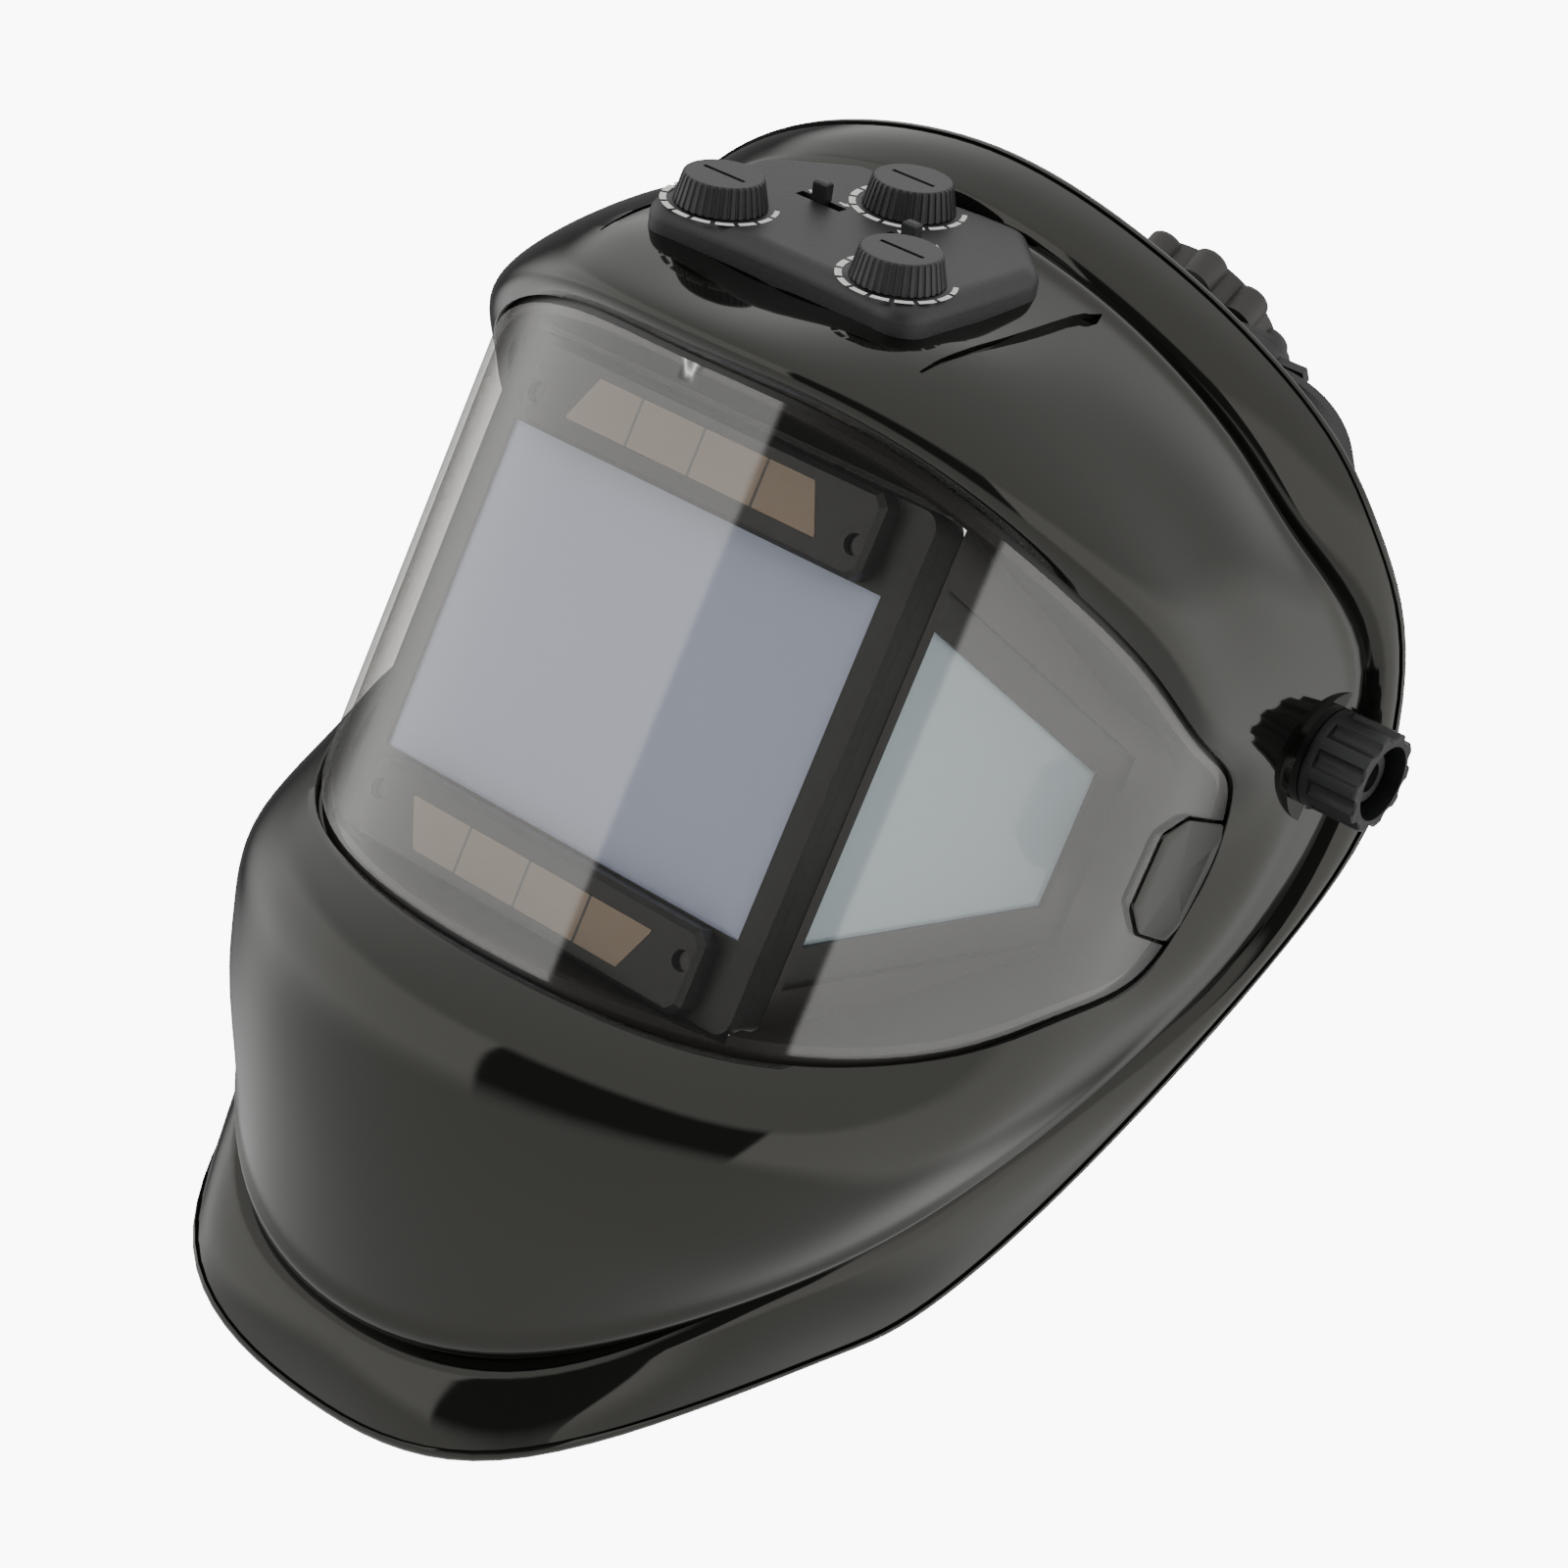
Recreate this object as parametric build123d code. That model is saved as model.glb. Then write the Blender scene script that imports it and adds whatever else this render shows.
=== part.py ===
from build123d import *
import math
import os

# Welding helmet, millimetres. +X is the wearer's left, -Y is forward, +Z is up.
# The origin is the midpoint of the tilt axis between the two side pivots.

# Driving dimensions
WALL = 2.6
PIVOT_BACK = 103.0
PIVOT_UP = 36.5
WINDOW_WIDTH = 100.0
WINDOW_HEIGHT = 75.4
LENS_RADIUS = 99.3
LENS_THICKNESS = 1.5
LENS_AXIS_Y = -24.0
WINDOW_Y = -PIVOT_BACK
WINDOW_Z = -PIVOT_UP
HEAD_TILT = 55.0
CONSOLE_TILT = 24.5
CONSOLE_Y = -86.8
CONSOLE_Z = 66.0
CONSOLE_PLATE = 2.4
DIAL_RADIUS = 10.0
DIAL_HEIGHT = 6.2
DIAL_SPOTS = {
    "dial_sensitivity": (-23.5, -15.5),
    "dial_shade": (0, 18),
    "dial_delay": (23.5, -15.5),
}
SWITCH_SPOTS = {"switch_slider_range": (-12.5, 4), "switch_slider_mode": (12.5, 2.5)}
SLOT_LENGTH = 12.0
BAND_HALF_WIDTH = 73.0
BAND_FRONT = 79.0
BAND_BACK = 88.0
BAND_THICKNESS = 1.8
CROWN_RISE = 85.0
STRAP_WIDTH = 16.0
HEAD_SWEEP = 92.3
RATCHET_DROP = -11.0
RACK_PITCH_RADIUS = 6.0
PINION_TEETH = 12
KNOB_RADIUS = 11.3
BOSS_OUTER_X = 106.2
BOSS_INNER_X = 101.9
BOLT_RADIUS = 3.0
SHOULDER_RADIUS = 5.1
RUNNING_GAP = 0.08
SLIDE_TRAVEL = 5.0
STOP_ANGLES = (15, 138)
SECTIONS = 24

# Guide points of the shell's right half, measured from the centre of the front window,
# from the top centre round the side to the bottom centre.
SHELL_GUIDES = (
    # edge of the cover lens
    ((0, -20.8, 67), (44, -10.5, 65.5), (80.5, 20, 52.5), (92, 40.5, 43), (98, 60, 33),
     (99.8, 79, 25), (99.8, 84.5, 14), (99.8, 84, -2), (99.8, 78, -17), (96.5, 53.5, -32),
     (89.5, 35, -43), (76, 14, -53), (42, -11.5, -61), (0, -20.8, -62)),
    # crest of the lip round the lens
    ((0, -25.3, 71.5), (45, -15, 69.5), (83, 18, 58), (94, 39, 50), (99.5, 60, 40.5),
     (102.3, 82.5, 31), (103, 91, 19), (103, 89, -4), (102.3, 82, -20.5), (98.2, 52.5, -40),
     (92.3, 32, -53), (82.5, 9, -66), (46, -20, -72), (0, -31, -74)),
    # lower brow and upper chin
    ((0, -14.1, 79.9), (39, -7, 83), (73, 23, 78), (87, 41, 69), (97, 60, 58),
     (104.3, 88, 41), (105.3, 97, 25), (105.2, 95, -3), (103.3, 86.5, -24), (99.5, 54, -49),
     (94, 31.5, -65.5), (82.5, 11, -82), (46, -20, -88), (0, -31, -92)),
    # crown and lower chin
    ((0, 6.7, 90.4), (35, 11, 92.5), (65, 31, 90), (81, 47, 82), (93, 63, 71),
     (105, 95, 51), (106.4, 104, 32), (106, 102, -3), (103, 90.5, -27), (97.5, 56, -59),
     (90.5, 34.5, -78), (79, 14, -95), (43, -14, -110), (0, -25, -115)),
    # crease where the flange starts
    ((0, 43, 115.5), (33, 46, 111.5), (62, 56, 101), (77, 67, 91), (90, 79.5, 79),
     (105.3, 103, 60), (107.5, 111, 38), (106.5, 108.5, -2), (102, 94.5, -29.5), (93.5, 58.5, -69),
     (86.3, 40.5, -88.8), (75.5, 24.5, -105.5), (41.5, -2, -138), (0, -11.5, -147.7)),
    # rim
    ((0, 55, 128), (37.3, 58.8, 122.7), (72.1, 72.4, 109.2), (88.8, 83.1, 97.8), (100.2, 93, 84.3),
     (110, 110.5, 60.5), (113, 118.5, 37.5), (111.3, 115, 2), (105.8, 100, -34), (96, 71, -85),
     (89.5, 56.5, -105), (81, 44, -118), (48, -2, -154.5), (0, -9, -167)),
)
BODY_STEPS = (0, 0.08, 0.17, 0.28, 0.4, 0.52, 0.64, 0.76, 0.88, 1)
FLANGE_STEPS = (0, 0.35, 0.7, 1)
LUG_OUTLINE = ((-12, -20), (-35.6, -20.4), (-41.8, -25.2), (-42.1, -41.3), (-36.5, -46.7), (-12, -49))


def spline_slopes(knots, values, flat_ends):
    """Slopes of the cubic spline through values, by forward and back substitution."""
    count = len(knots)
    below = [0.0] * count
    middle = [1.0] * count
    above = [0.0] * count
    right = [0.0] * count
    if not flat_ends:
        middle[0] = middle[-1] = 2.0
        above[0] = below[-1] = 1.0
        right[0] = 3 * (values[1] - values[0]) / (knots[1] - knots[0])
        right[-1] = 3 * (values[-1] - values[-2]) / (knots[-1] - knots[-2])
    for i in range(1, count - 1):
        before = knots[i] - knots[i - 1]
        after = knots[i + 1] - knots[i]
        below[i] = after
        middle[i] = 2 * (before + after)
        above[i] = before
        rise_before = after * (values[i] - values[i - 1]) / before
        rise_after = before * (values[i + 1] - values[i]) / after
        right[i] = 3 * (rise_before + rise_after)
    for i in range(1, count):
        factor = below[i] / middle[i - 1]
        middle[i] -= factor * above[i - 1]
        right[i] -= factor * right[i - 1]
    slopes = [0.0] * count
    slopes[-1] = right[-1] / middle[-1]
    for i in range(count - 2, -1, -1):
        slopes[i] = (right[i] - above[i] * slopes[i + 1]) / middle[i]
    return slopes


def spline_value(knots, values, slopes, x):
    """The cubic spline's value at x."""
    i = 0
    while i < len(knots) - 2 and x > knots[i + 1]:
        i += 1
    span = knots[i + 1] - knots[i]
    t = (x - knots[i]) / span
    start = values[i] * (1 + 2 * t) * (1 - t) ** 2 + span * slopes[i] * t * (1 - t) ** 2
    end = values[i + 1] * (3 - 2 * t) * t * t - span * slopes[i + 1] * (1 - t) * t * t
    return start + end


class Guide:
    """A smooth curve through points; each axis is flat or free at its ends."""

    def __init__(self, knots, points, flat_ends):
        self.knots = knots
        self.values = list(zip(*points))
        self.slopes = [spline_slopes(knots, v, f) for v, f in zip(self.values, flat_ends)]

    def at(self, x):
        pairs = zip(self.values, self.slopes)
        return tuple(spline_value(self.knots, v, s, x) for v, s in pairs)


def running_lengths(rows):
    """Mean distance along the rows, point by point."""
    total = [0.0]
    for i in range(len(rows[0]) - 1):
        step = sum(math.dist(row[i], row[i + 1]) for row in rows) / len(rows)
        total.append(total[-1] + step)
    return total


GUIDE_POINTS = [[(x, y - PIVOT_BACK, z - PIVOT_UP) for x, y, z in row] for row in SHELL_GUIDES]
GUIDE_KNOTS = running_lengths(GUIDE_POINTS)
GUIDES = [Guide(GUIDE_KNOTS, row, (False, True, True)) for row in GUIDE_POINTS]


def shell_column(u):
    """Outer points from the lens edge to the rim at u, 0 at the top centre, 1 at the bottom."""
    side = 1
    if u < 0 or u > 1:
        side = -1
        u = -u if u < 0 else 2 - u
    marks = [guide.at(u * GUIDE_KNOTS[-1]) for guide in GUIDES]
    marks = [(side * x, y, z) for x, y, z in marks]
    knots = [0.0]
    for a, b in zip(marks[:4], marks[1:5]):
        knots.append(knots[-1] + math.dist(a, b) ** 0.6)
    body = Guide([k / knots[-1] for k in knots], marks[:5], (False, False, False))
    crease = Vector(*marks[4])
    rim = Vector(*marks[5])
    body_points = [Vector(*body.at(v)) for v in BODY_STEPS]
    flange_points = [crease + (rim - crease) * v for v in FLANGE_STEPS]
    return body_points, flange_points


def column_normals(rows, before, after):
    """Outward normals of a column from its two neighbours."""
    normals = []
    last = len(rows) - 1
    for i in range(len(rows)):
        along = rows[min(i + 1, last)] - rows[max(i - 1, 0)]
        normals.append((after[i] - before[i]).cross(along).normalized())
    return normals


def shell_section(u):
    """Closed wall section of the shell at u."""
    step = 0.004
    body, flange = shell_column(u)
    body_before, flange_before = shell_column(u - step)
    body_after, flange_after = shell_column(u + step)
    body_normals = column_normals(body, body_before, body_after)
    flange_normals = column_normals(flange, flange_before, flange_after)
    inner_body = [p - n * WALL for p, n in zip(body, body_normals)]
    inner_flange = [p - n * WALL for p, n in zip(flange, flange_normals)]
    bend = body_normals[-1] + flange_normals[0]
    corner = body[-1] - bend * (WALL / (1 + body_normals[-1].dot(flange_normals[0])))
    inner_body[-1] = corner
    inner_flange[0] = corner
    return Wire([
        Edge.make_spline(body),
        Edge.make_spline(flange),
        Edge.make_line(flange[-1], inner_flange[-1]),
        Edge.make_spline(inner_flange[::-1]),
        Edge.make_spline(inner_body[::-1]),
        Edge.make_line(inner_body[0], body[0]),
    ])


def save(name, shape):
    """Write one node to its own STEP file."""
    solids = shape.solids()
    for solid in solids:
        if not solid.is_valid or solid.volume <= 0:
            print("check this solid:", name)
    body = solids[0] if len(solids) == 1 else Compound(children=list(solids))
    export_step(body, os.path.join("parts", name + ".step"))


def slab(points, x_from, x_to):
    """A side-view outline (y, z) pushed from x_from to x_to."""
    outline = Plane.YZ.offset(x_from) * make_face(Polyline(*points, close=True))
    return extrude(outline, x_to - x_from)


def block(x_from, x_to, y_from, y_to, z_from, z_to):
    """A box between two corners."""
    box = Box(x_to - x_from, y_to - y_from, z_to - z_from)
    return Pos((x_from + x_to) / 2, (y_from + y_to) / 2, (z_from + z_to) / 2) * box


def rod_x(radius, x_from, x_to, y=0.0, z=0.0):
    """A round bar along X."""
    turned = Rot(0, 90, 0) * Cylinder(radius, abs(x_to - x_from))
    return Pos((x_from + x_to) / 2, y, z) * turned


def rod_y(radius, y_from, y_to, x=0.0, z=0.0):
    """A round bar along Y."""
    turned = Rot(90, 0, 0) * Cylinder(radius, abs(y_to - y_from))
    return Pos(x, (y_from + y_to) / 2, z) * turned


def lens_tube(outer, inner):
    """A tall tube about the upright axis of the cover lens."""
    height = 220
    tube = Cylinder(outer, height) - Cylinder(inner, height + 2)
    return Pos(0, LENS_AXIS_Y, WINDOW_Z) * tube


def lens_edge(grow):
    """Side view (y, z) of the cover lens's edge, grown outwards by a margin."""
    marks = 28
    edge = [GUIDES[0].at(GUIDE_KNOTS[-1] * i / marks)[1:] for i in range(marks + 1)]
    grown = []
    for i, (y, z) in enumerate(edge):
        before = edge[max(i - 1, 0)]
        after = edge[min(i + 1, marks)]
        along_y = after[0] - before[0]
        along_z = after[1] - before[1]
        length = math.hypot(along_y, along_z)
        grown.append((y - grow * along_z / length, z + grow * along_y / length))
    return grown


def lens_prism(grow):
    """The lens's side view, grown by a margin and pushed across the helmet."""
    edge = lens_edge(grow)
    front = edge[0][0] - 30
    outline = Spline(*edge) + Polyline(edge[-1], (front, edge[-1][1]), (front, edge[0][1]), edge[0])
    return extrude(Plane.YZ.offset(-120) * make_face(outline), 240)


def shell_blank():
    """The whole shell wall before anything is cut out of it."""
    sections = [shell_section(i / SECTIONS) for i in range(SECTIONS + 1)]
    half = Solid.make_loft(sections)
    return half + mirror(half, about=Plane.YZ)


# Control console on the crown

def console_plane(height=0.0):
    """Work plane of the console, raised by height; its Y runs up and back."""
    tilt = math.radians(CONSOLE_TILT)
    normal = (0, -math.sin(tilt), math.cos(tilt))
    return Plane(origin=(0, CONSOLE_Y, CONSOLE_Z), x_dir=(1, 0, 0), z_dir=normal).offset(height)


def console_outline(grow=0.0):
    """Plan of the console pad."""
    front = ThreePointArc((-36, -28), (0, -25.5), (36, -28))
    rest = Polyline((36, -28), (37.5, 15), (22, 31), (-22, 31), (-37.5, 15), (-36, -28))
    face = make_face(front + rest)
    face = fillet(face.vertices(), 7)
    return offset(face, grow) if grow else face


def console_prism(grow, bottom, top):
    """The console plan pushed between two heights above its work plane."""
    return extrude(console_plane(bottom) * console_outline(grow), top - bottom)


def head_sweep():
    """The drum the headgear turns in."""
    return rod_x(HEAD_SWEEP, -60, 60)


def console_screw_spots():
    return ((-29, -1), (29, -1), (-12, -18), (12, -18))


def console_screws():
    screws = Part()
    for spot in console_screw_spots():
        place = Pos(spot[0], spot[1])
        screws += console_plane(-8.6) * place * Cylinder(1.1, 5, align=(Align.CENTER, Align.CENTER, Align.MIN))
        screws += console_plane(-8.6) * place * Cylinder(2.1, 1.2, align=(Align.CENTER, Align.CENTER, Align.MAX))
    return screws


def console_housing(blank):
    """Pad that sits on the crown; a plug below it fills the opening in the shell."""
    pad = console_prism(0, -22, 0)
    pad = fillet(pad.faces().sort_by(Axis.Z)[-1].edges(), 3.8)
    step = console_prism(3.5, -22, -8.5)
    lid = max((pad + step - blank).solids(), key=lambda s: s.center().dot(console_plane().z_dir))
    body = lid + console_prism(-3.3, -8.6, -1)
    body -= console_prism(-5.3, -40, -CONSOLE_PLATE)
    for spot in console_screw_spots():
        body += console_plane(-7.2) * Pos(*spot) * Cylinder(2.6, 5, align=(Align.CENTER, Align.CENTER, Align.MIN))
    for spot in DIAL_SPOTS.values():
        body -= console_plane() * Pos(*spot) * Cylinder(3 + RUNNING_GAP, 12)
    for spot in SWITCH_SPOTS.values():
        body -= console_plane() * Pos(*spot) * Box(SLOT_LENGTH, 2.6, 12)
    return body - console_screws() - head_sweep()


def console_board():
    board = console_prism(-5.6, -8.6, -7.2)
    return board - console_screws() - head_sweep()


def potentiometers():
    """Three square bodies on the board, bored for the dial stems."""
    bodies = Part()
    for spot in DIAL_SPOTS.values():
        can = Box(10, 10, 4.6, align=(Align.CENTER, Align.CENTER, Align.MIN))
        can -= Pos(0, 0, 2) * Cylinder(3 + RUNNING_GAP, 4, align=(Align.CENTER, Align.CENTER, Align.MIN))
        bodies += console_plane(-7.1) * Pos(*spot) * can
    return bodies


def slide_switch_bodies():
    """Two channel-shaped switch bodies on the board, each holding a slider's foot."""
    bodies = Part()
    for spot in SWITCH_SPOTS.values():
        can = Box(17, 6, 3.4, align=(Align.CENTER, Align.CENTER, Align.MIN))
        can -= Pos(0, 0, 1.2) * Box(14.4, 3.2 + 2 * RUNNING_GAP, 3, align=(Align.CENTER, Align.CENTER, Align.MIN))
        bodies += console_plane(-7.1) * Pos(*spot) * can
    return bodies


def switch_slider(spot):
    """Tab with a foot that runs in the switch body."""
    foot = Pos(0, 0, -5.8) * Box(5, 3.2, 2.1, align=(Align.CENTER, Align.CENTER, Align.MIN))
    stem = Pos(0, 0, -4) * Box(2.6, 2.2, 5, align=(Align.CENTER, Align.CENTER, Align.MIN))
    cap = Pos(0, 0, 0.3) * Box(3.6, 2.4, 4.2, align=(Align.CENTER, Align.CENTER, Align.MIN))
    cap = fillet(cap.edges().group_by(Axis.Z)[-1], 0.7)
    return console_plane() * Pos(*spot) * (foot + stem + cap)


def dial(spot):
    """Tapered control knob with a finely fluted side, a pointer groove and a stem."""
    cap = Cone(DIAL_RADIUS, DIAL_RADIUS - 1.5, DIAL_HEIGHT, align=(Align.CENTER, Align.CENTER, Align.MIN))
    cap = fillet(cap.edges().sort_by(Axis.Z)[-1], 0.8)
    flutes = 36
    for i in range(flutes):
        flute = Pos(DIAL_RADIUS + 0.05, 0, 0) * Rot(0, -13.6, 0) * Cylinder(0.42, 14)
        cap -= Rot(0, 0, i * 360 / flutes) * flute
    cap -= Pos(0, 0, DIAL_HEIGHT) * Box(11, 1.1, 1.2)
    stem = Pos(0, 0, -5.0) * Cylinder(3, 6, align=(Align.CENTER, Align.CENTER, Align.MIN))
    return console_plane() * Pos(*spot) * (Pos(0, 0, 0.25) * cap + stem)


def console_lead():
    """Lead from the console board down to the filter cartridge."""
    start = console_plane(-8.7).from_local_coords((24, -6, 0))
    path = Spline(start, (24, -94.5, 42), (24, -94.8, 20.6), tangents=(-console_plane().z_dir, (0, 0, -1)))
    return sweep(Plane(path @ 0, z_dir=path % 0) * Circle(1.1), path)


# Shell

def helmet_shell(blank):
    """Shell with its lens lugs, pivot bosses, tilt stops and console opening."""
    shell = blank - console_prism(-3.2, -30, 12)
    well = Cylinder(DIAL_RADIUS + 0.8, 12, align=(Align.CENTER, Align.CENTER, Align.MIN))
    shell -= console_plane() * Pos(*DIAL_SPOTS["dial_shade"]) * well
    lug = lens_tube(LENS_RADIUS + 0.4, LENS_RADIUS - LENS_THICKNESS) & slab(LUG_OUTLINE, 60, 120)
    for mark in (1, -1):
        half_lug = lug if mark == 1 else mirror(lug, about=Plane.YZ)
        shell -= rod_x(KNOB_RADIUS + 0.7, mark * BOSS_OUTER_X, mark * 130)
        shell += rod_x(15, mark * BOSS_INNER_X, mark * BOSS_OUTER_X)
        for angle in STOP_ANGLES:
            turn = math.radians(angle)
            y = 13 * math.cos(turn)
            z = 13 * math.sin(turn)
            shell += rod_x(1.2, mark * (BOSS_INNER_X - 1.5), mark * (BOSS_INNER_X + 1), y, z)
        shell -= rod_x(SHOULDER_RADIUS + RUNNING_GAP, mark * 90, mark * 130)
        shell += half_lug
    return shell


def front_cover_lens():
    lens = lens_tube(LENS_RADIUS, LENS_RADIUS - LENS_THICKNESS) & lens_prism(-0.4)
    notch = [(y, z) for y, z in LUG_OUTLINE]
    for side in (slab(notch, 60, 130), slab(notch, -130, -60)):
        lens -= side
    return lens


def lens_retaining_frame(blank):
    """Bezel behind the edge of the cover lens, trimmed to the inside of the shell."""
    tube = lens_tube(LENS_RADIUS - LENS_THICKNESS - 0.1, LENS_RADIUS - 4.6)
    ring = (tube & lens_prism(2.6)) - lens_prism(-2.8) - blank
    ring -= front_block(113, 115, WINDOW_Y - 7, WINDOW_Y + 8)
    return max(ring.solids(), key=lambda s: s.volume)


# Filter cartridge behind the cover lens

def front_block(width, height, y_from, y_to):
    """A block centred on the front window."""
    half = width / 2
    return block(-half, half, y_from, y_to, WINDOW_Z - height / 2, WINDOW_Z + height / 2)


def cartridge_screw_spots():
    return [(x, WINDOW_Z + z) for x in (-50.5, 50.5) for z in (-52, 52)]


def adf_screws():
    screws = Part()
    for x, z in cartridge_screw_spots():
        screws += rod_y(1.3, WINDOW_Y - 0.2, WINDOW_Y + 8.5, x, z)
        screws += rod_y(2.6, WINDOW_Y + 8.5, WINDOW_Y + 10.2, x, z)
    return screws


def solar_strip(side, grow):
    """Slanted-ended strip above (1) or below (-1) the front window."""
    low = 43.0
    high = 53.5
    wide = 34.0
    narrow = 29.0
    points = [(-wide, low), (wide, low), (narrow, high), (-narrow, high)]
    points = [(x, side * z) for x, z in points]
    face = make_face(Polyline(*points, close=True))
    if grow:
        face = offset(face, grow, kind=Kind.INTERSECTION)
    plane = Plane(origin=(0, WINDOW_Y - 6.5, WINDOW_Z), x_dir=(1, 0, 0), z_dir=(0, -1, 0))
    return extrude(plane * face, -1.0)


def sensor_spots():
    return [(x, WINDOW_Z + z) for x in (-43, 43) for z in (45.3, -45.5)]


def adf_front_housing():
    """Front half of the cartridge: window, raised ends for the solar cells, sensor ports."""
    plate = front_block(112, 114, WINDOW_Y - 0.8, WINDOW_Y + 3.2)
    plate = fillet(plate.edges().filter_by(Axis.Y), 4)
    body = plate
    for side in (1, -1):
        z_near = WINDOW_Z + side * 38.2
        z_far = WINDOW_Z + side * 57
        end = block(-46.5, 46.5, WINDOW_Y - 6.5, WINDOW_Y - 0.8, min(z_near, z_far), max(z_near, z_far))
        end = chamfer(end.edges().filter_by(Axis.Y), 2.5)
        end = chamfer(end.faces().sort_by(Axis.Y)[0].edges(), 1.2)
        body += end
        z_near = WINDOW_Z + side * 40.5
        z_far = WINDOW_Z + side * 55
        body -= block(-45.5, 45.5, WINDOW_Y - 4.6, WINDOW_Y + 4, min(z_near, z_far), max(z_near, z_far))
        body -= solar_strip(side, 0.1)
    body -= front_block(109.6, 110.6, WINDOW_Y + 1.9, WINDOW_Y + 4)
    body -= front_block(104.6, 80, WINDOW_Y, WINDOW_Y + 4)
    body -= front_block(WINDOW_WIDTH, WINDOW_HEIGHT, WINDOW_Y - 3, WINDOW_Y + 4)
    for x, z in sensor_spots():
        body -= rod_y(2.3, WINDOW_Y - 8, WINDOW_Y - 3, x, z)
    return body - adf_screws()


def light_sensors():
    sensors = Part()
    for x, z in sensor_spots():
        sensors += rod_y(2.2, WINDOW_Y - 5.0, WINDOW_Y + 1.9, x, z)
    return sensors


def adf_filter_glass():
    return front_block(104, 79.4, WINDOW_Y + 0.05, WINDOW_Y + 3.1)


def adf_circuit_board():
    """Frame-shaped board round the filter glass."""
    board = front_block(109, 110, WINDOW_Y + 1.95, WINDOW_Y + 3.15)
    board -= front_block(104.8, 80.4, WINDOW_Y, WINDOW_Y + 5)
    for x, z in cartridge_screw_spots():
        board -= rod_y(1.6, WINDOW_Y, WINDOW_Y + 5, x, z)
    return board


def drawer_block(grow, z_low):
    """Space of the battery drawer in the lower edge of the cartridge."""
    z_high = WINDOW_Z - 37.8 + grow
    return block(20 - grow, 44 + grow, WINDOW_Y + 4.6 - grow, WINDOW_Y + 9.2 + grow, z_low, z_high)


def battery_drawer():
    """Tray with a pull lip, open towards the wearer for the coin cell."""
    tray = drawer_block(0, WINDOW_Z - 57)
    tray += block(20, 44, WINDOW_Y + 3.8, WINDOW_Y + 9.6, WINDOW_Z - 59.2, WINDOW_Z - 57.1)
    tray -= rod_y(8.1, WINDOW_Y + 5.6, WINDOW_Y + 12, 32, WINDOW_Z - 47.2)
    return tray


def battery_cell():
    return rod_y(8.0, WINDOW_Y + 5.65, WINDOW_Y + 8.6, 32, WINDOW_Z - 47.2)


def adf_rear_housing():
    """Rear half of the cartridge, with the pocket of the battery drawer."""
    body = front_block(112, 114, WINDOW_Y + 3.25, WINDOW_Y + 10.5)
    body = fillet(body.edges().filter_by(Axis.Y), 4)
    body -= front_block(96, 71, WINDOW_Y, WINDOW_Y + 12)
    body -= drawer_block(RUNNING_GAP, WINDOW_Z - 60)
    for x, z in cartridge_screw_spots():
        body -= rod_y(2.7, WINDOW_Y + 8.5, WINDOW_Y + 12, x, z)
    return body - adf_screws()


def adf_inner_cover():
    return front_block(101, 76, WINDOW_Y + 10.55, WINDOW_Y + 11.7)


def side_plane(height=0.0):
    """Outer face of the left side filter; X runs back along it, Y runs up."""
    return Plane(origin=(66.5, -63.5, WINDOW_Z), x_dir=(0.381, 0.925, 0), z_dir=(0.925, -0.381, 0)).offset(height)


def side_outline(grow=0.0):
    """Plan of the side window, taller at the front than at the rear."""
    face = make_face(Polyline((-27.6, 34.5), (27.6, 16), (27.6, -14.5), (-27.6, -36), close=True))
    return offset(face, grow, kind=Kind.INTERSECTION) if grow else face


def side_frame_outline(grow=0.0):
    clip = Pos(1.9, 0) * Rectangle(65.4 + 2 * grow, 120)
    return side_outline(9 + grow) & clip


def side_layer(outline, bottom, top):
    return extrude(side_plane(bottom) * outline, top - bottom)


def side_filter_frame():
    frame = side_layer(side_frame_outline(), -5, 0)
    frame -= side_layer(side_outline(), -8, 2)
    return frame - side_layer(side_outline(2.1), -8, -1.6)


def side_filter_glass():
    return side_layer(side_outline(2), -4.1, -1.7)


def side_inner_cover():
    return side_layer(side_outline(2), -5.2, -4.2)


def carrier_front(grow):
    """Everything in front of the line of the three windows."""
    corner_x = 53.0
    corner_y = -96.3
    end_x = 66.5 + 0.381 * 62
    end_y = -63.5 + 0.925 * 62
    points = [(-end_x, end_y), (-corner_x, corner_y), (corner_x, corner_y), (end_x, end_y)]
    outer = [(150, end_y), (150, -160), (-150, -160), (-150, end_y)]
    face = make_face(Polyline(*points, *outer, close=True))
    if grow:
        face = offset(face, -grow, kind=Kind.INTERSECTION)
    return extrude(Plane.XY.offset(-150) * face, 300)


def filter_carrier():
    """Tray that closes the space between the filters and the cover lens."""
    drum = Pos(0, LENS_AXIS_Y, WINDOW_Z) * Cylinder(LENS_RADIUS - 4.7, 240)
    outer = lens_prism(1) & drum & carrier_front(0)
    tray = outer - (lens_prism(-0.8) & carrier_front(1.8))
    tray -= front_block(112.4, 114.4, WINDOW_Y - 20, WINDOW_Y + 20)
    tray -= block(19, 45, WINDOW_Y + 2, WINDOW_Y + 12, WINDOW_Z - 120, WINDOW_Z)
    opening = side_layer(side_frame_outline(-1.2), -10, 6)
    tray -= opening
    tray -= mirror(opening, about=Plane.YZ)
    biggest = sorted(tray.solids(), key=lambda s: -s.volume)[0]
    return biggest


# Headgear, drawn level and then tilted as one

def place_head(shape):
    """Tilt headgear drawn level into its resting position."""
    return Rot(HEAD_TILT, 0, 0) * shape


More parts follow.
